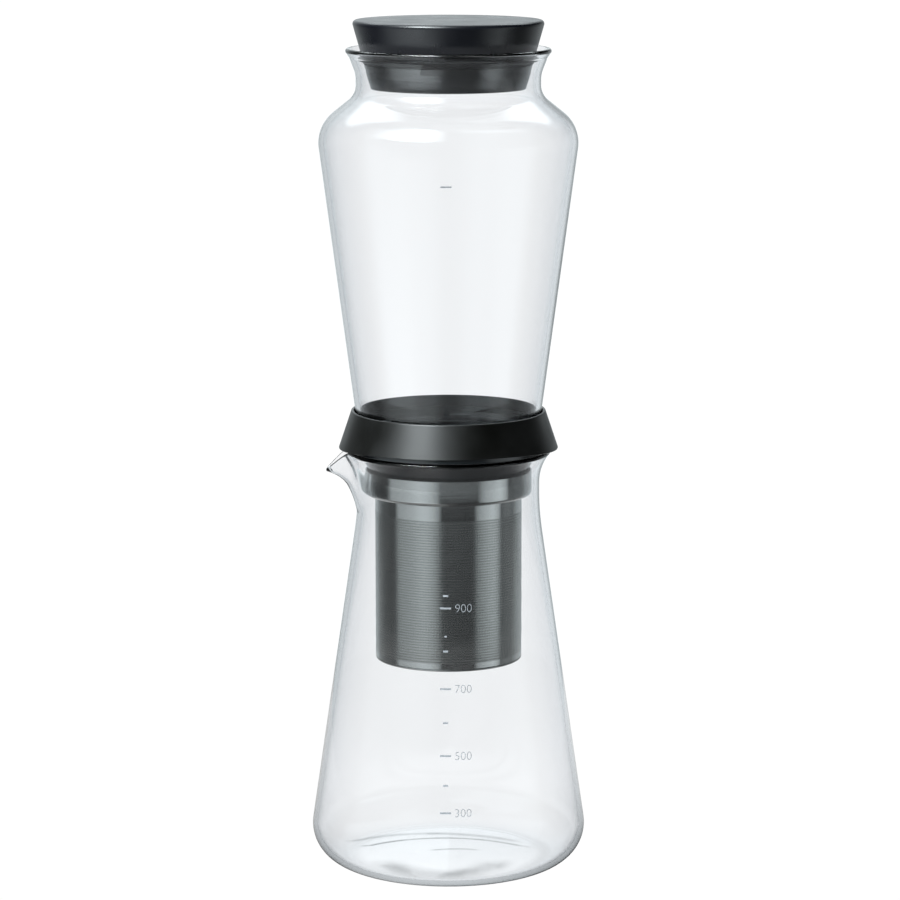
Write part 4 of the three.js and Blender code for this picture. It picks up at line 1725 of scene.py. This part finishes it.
    def with_edges(
        self, tree: Tree, share: Node, light: Node, hue: Socket | tuple
    ) -> tuple[Node, Socket]:
        """Adds what light looks like once a glass wall has turned it back inside itself.

        Args:
            tree: the sky's or the table's.
            share: the node that gives the direction.
            light: the node that gives the strength of all other light.
            hue: the colour of all other light.

        Returns:
            The node that gives the strength of all light, and the light's colour.
        """
        path = add(tree, "ShaderNodeLightPath").outputs
        inside = 1.0
        for depth, bound, test in (
            ("Glossy Depth", BOUNCED, "GREATER_THAN"),
            ("Transmission Depth", BOUNCED, "GREATER_THAN"),
            ("Transmission Depth", ONE_WALL, "LESS_THAN"),
        ):
            passed = add(tree, "ShaderNodeMath", {0: path[depth], 1: bound}, operation=test)
            inside = add(tree, "ShaderNodeMath", {0: inside, 1: passed}, operation="MULTIPLY")
        edge = self.wall(tree, self.seen_in_glass, share)
        strengths = {0: inside, 2: light, 3: edge}
        colours = {0: inside, 6: hue, 7: linear(self.cool_glass)}
        strength = add(tree, "ShaderNodeMix", strengths, data_type="FLOAT")
        return strength, add(tree, "ShaderNodeMix", colours, data_type="RGBA").outputs[2]

    def sky(self) -> None:
        """Makes the tent. Through glass the camera sees a white backdrop on every side."""
        world = bpy.data.worlds.new("light_tent")
        world.use_nodes = True
        tree = world.node_tree
        tree.nodes.clear()
        way = add(tree, "ShaderNodeTexCoord").outputs["Generated"]
        share = self.direction(tree, way)
        height = add(tree, "ShaderNodeSeparateXYZ", {0: way}).outputs["Z"]
        rise = add(tree, "ShaderNodeMath", {0: height}, operation="ARCSINE")
        light = self.wall(tree, self.deep, share)
        for wall, ends in (
            (self.low_front, self.low_front_from),
            (self.eye_level, self.eye_level_from),
            (self.above, self.above_from),
        ):
            light = self.blend(tree, light, self.wall(tree, wall, share), rise, ends)
        key = self.softened(tree, self.wall(tree, self.key_level, share))
        light = self.blend(tree, light, key, rise, self.key_level_from)
        light = self.blend(tree, light, self.ceiling, rise, self.ceiling_from)
        seen = self.seen_straight(tree)
        backed = {0: seen, 2: light, 3: self.backdrop}
        shown = add(tree, "ShaderNodeMix", backed, data_type="FLOAT")
        hues = {0: seen, 6: linear(self.cool_light), 7: (1, 1, 1, 1)}
        hue = add(tree, "ShaderNodeMix", hues, data_type="RGBA").outputs[2]
        strength, colour = self.with_edges(tree, share, shown, hue)
        glow = add(tree, "ShaderNodeBackground", {"Color": colour, "Strength": strength})
        add(tree, "ShaderNodeOutputWorld", {"Surface": glow})
        bpy.context.scene.world = world

    def painted_thrown_light(self, tree: Tree, spot: Socket) -> Node:
        """Adds painted light and shade on the table under the carafe's base: a painted glow inside
        its foot ring and painted caustic arcs.

        Args:
            tree: the table's.
            spot: where on the table a point lies.

        Returns:
            The last node, which gives a share of the table's own light.
        """
        radius = add(tree, "ShaderNodeVectorMath", {0: spot}, operation="LENGTH")
        limits = {
            "Value": radius.outputs["Value"],
            "From Min": (self.painted_glow_radius - self.painted_glow_fade) * MM,
            "From Max": self.painted_glow_radius * MM,
            "To Min": 1 + self.painted_glow,
            "To Max": 1.0,
        }
        light = add(tree, "ShaderNodeMapRange", limits)
        along = add(tree, "ShaderNodeSeparateXYZ", {0: spot}).outputs["Y"]
        waves = {"Scale": 1 / (self.patch_size * MM), "Detail": 1.0, "Distortion": 1.0}
        limits = {
            "Value": add(tree, "ShaderNodeTexNoise", {"Vector": spot, **waves}),
            "From Min": self.patch_low,
            "From Max": self.patch_high,
            "To Min": self.patch_least,
        }
        patches = add(tree, "ShaderNodeMapRange", limits)
        # Each arc darkens the table's glow along a circle: a painted caustic shadow
        for arc in self.painted_caustics:
            centre = (arc.x * MM, arc.y * MM, 0.0)
            arm = add(tree, "ShaderNodeVectorMath", {0: spot, 1: centre}, operation="DISTANCE")
            radii = {0: arm.outputs["Value"], 1: arc.radius * MM}
            off = add(tree, "ShaderNodeMath", radii, operation="SUBTRACT")
            away = add(tree, "ShaderNodeMath", {0: off}, operation="ABSOLUTE")
            limits = {
                "Value": away,
                "From Min": 0.0,
                "From Max": arc.half_width * MM,
                "To Min": arc.darkness,
                "To Max": 0.0,
            }
            line = add(tree, "ShaderNodeMapRange", limits, interpolation_type="SMOOTHSTEP")
            ends = {"From Min": arc.fades_at * MM, "From Max": arc.full_at * MM}
            side = add(tree, "ShaderNodeMapRange", {"Value": along, **ends})
            part = add(tree, "ShaderNodeMath", {0: line, 1: side}, operation="MULTIPLY")
            dark = add(tree, "ShaderNodeMath", {0: part, 1: patches}, operation="MULTIPLY")
            left = add(tree, "ShaderNodeMath", {0: 1.0, 1: dark}, operation="SUBTRACT")
            light = add(tree, "ShaderNodeMath", {0: light, 1: left}, operation="MULTIPLY")
        return light

    def floor(self) -> None:
        """Makes the light table. Glossy pieces see dark cards that lie on it round the object."""
        material, tree = new_material("opal_acrylic_light_table")
        spot = add(tree, "ShaderNodeTexCoord").outputs["Object"]
        share = self.direction(tree, spot)
        cards = self.wall(tree, self.floor_seen_in_gloss, share)
        lights = {0: self.seen_straight(tree), 2: cards, 3: self.floor_glow}
        shown = add(tree, "ShaderNodeMix", lights, data_type="FLOAT")
        strength, colour = self.with_edges(tree, share, shown, (1, 1, 1, 1))
        # The table's glow is multiplied by the painted glow and the painted caustic arcs under the
        # carafe
        shares = {0: strength, 1: self.painted_thrown_light(tree, spot)}
        lit = add(tree, "ShaderNodeMath", shares, operation="MULTIPLY")
        glow = add(tree, "ShaderNodeEmission", {"Color": colour, "Strength": lit})
        add(tree, "ShaderNodeOutputMaterial", {"Surface": glow})
        mesh = bpy.data.meshes.new("table_top")
        rim = []
        for k in range(self.floor_sides):
            angle = 2 * math.pi * k / self.floor_sides
            rim.append(Vector((math.cos(angle), math.sin(angle), 0)) * self.floor_radius * MM)
        mesh.from_pydata(rim, [], [tuple(range(self.floor_sides))])
        mesh.materials.append(material)
        table = new_object("table_top", mesh)
        table.location.z = -self.floor_drop * MM

    def camera(self) -> None:
        """Puts the camera where the photograph was taken from."""
        data = bpy.data.cameras.new("camera")
        data.sensor_width = self.sensor
        data.lens = self.lens
        camera = new_object("camera", data)
        camera.location = (0.0, -self.distance * MM, self.eye_height * MM)
        tilt, pan = math.radians(90 - self.look_down), math.radians(-self.look_right)
        camera.rotation_euler = (tilt, 0.0, pan)
        bpy.context.scene.camera = camera

    def build(self) -> None:
        """Makes the studio."""
        self.sky()
        self.floor()
        self.camera()
        bpy.context.scene.view_settings.view_transform = "Standard"


def main() -> None:
    """Builds the coffee maker and its studio."""
    finishes = Finishes()
    lathe = Lathe()
    bowl = WaterBowl(finishes, lathe)
    for part in (
        Carafe(finishes, lathe),
        Strainer(finishes, lathe),
        Dripper(finishes, lathe, bowl.outside()),
        bowl,
        Lid(finishes, lathe, bowl.outside(), bowl.neck_radius),
    ):
        log.info("building the %s", type(part).__name__)
        part.build()
    Studio().build()


if __name__ == "__main__":
    main()
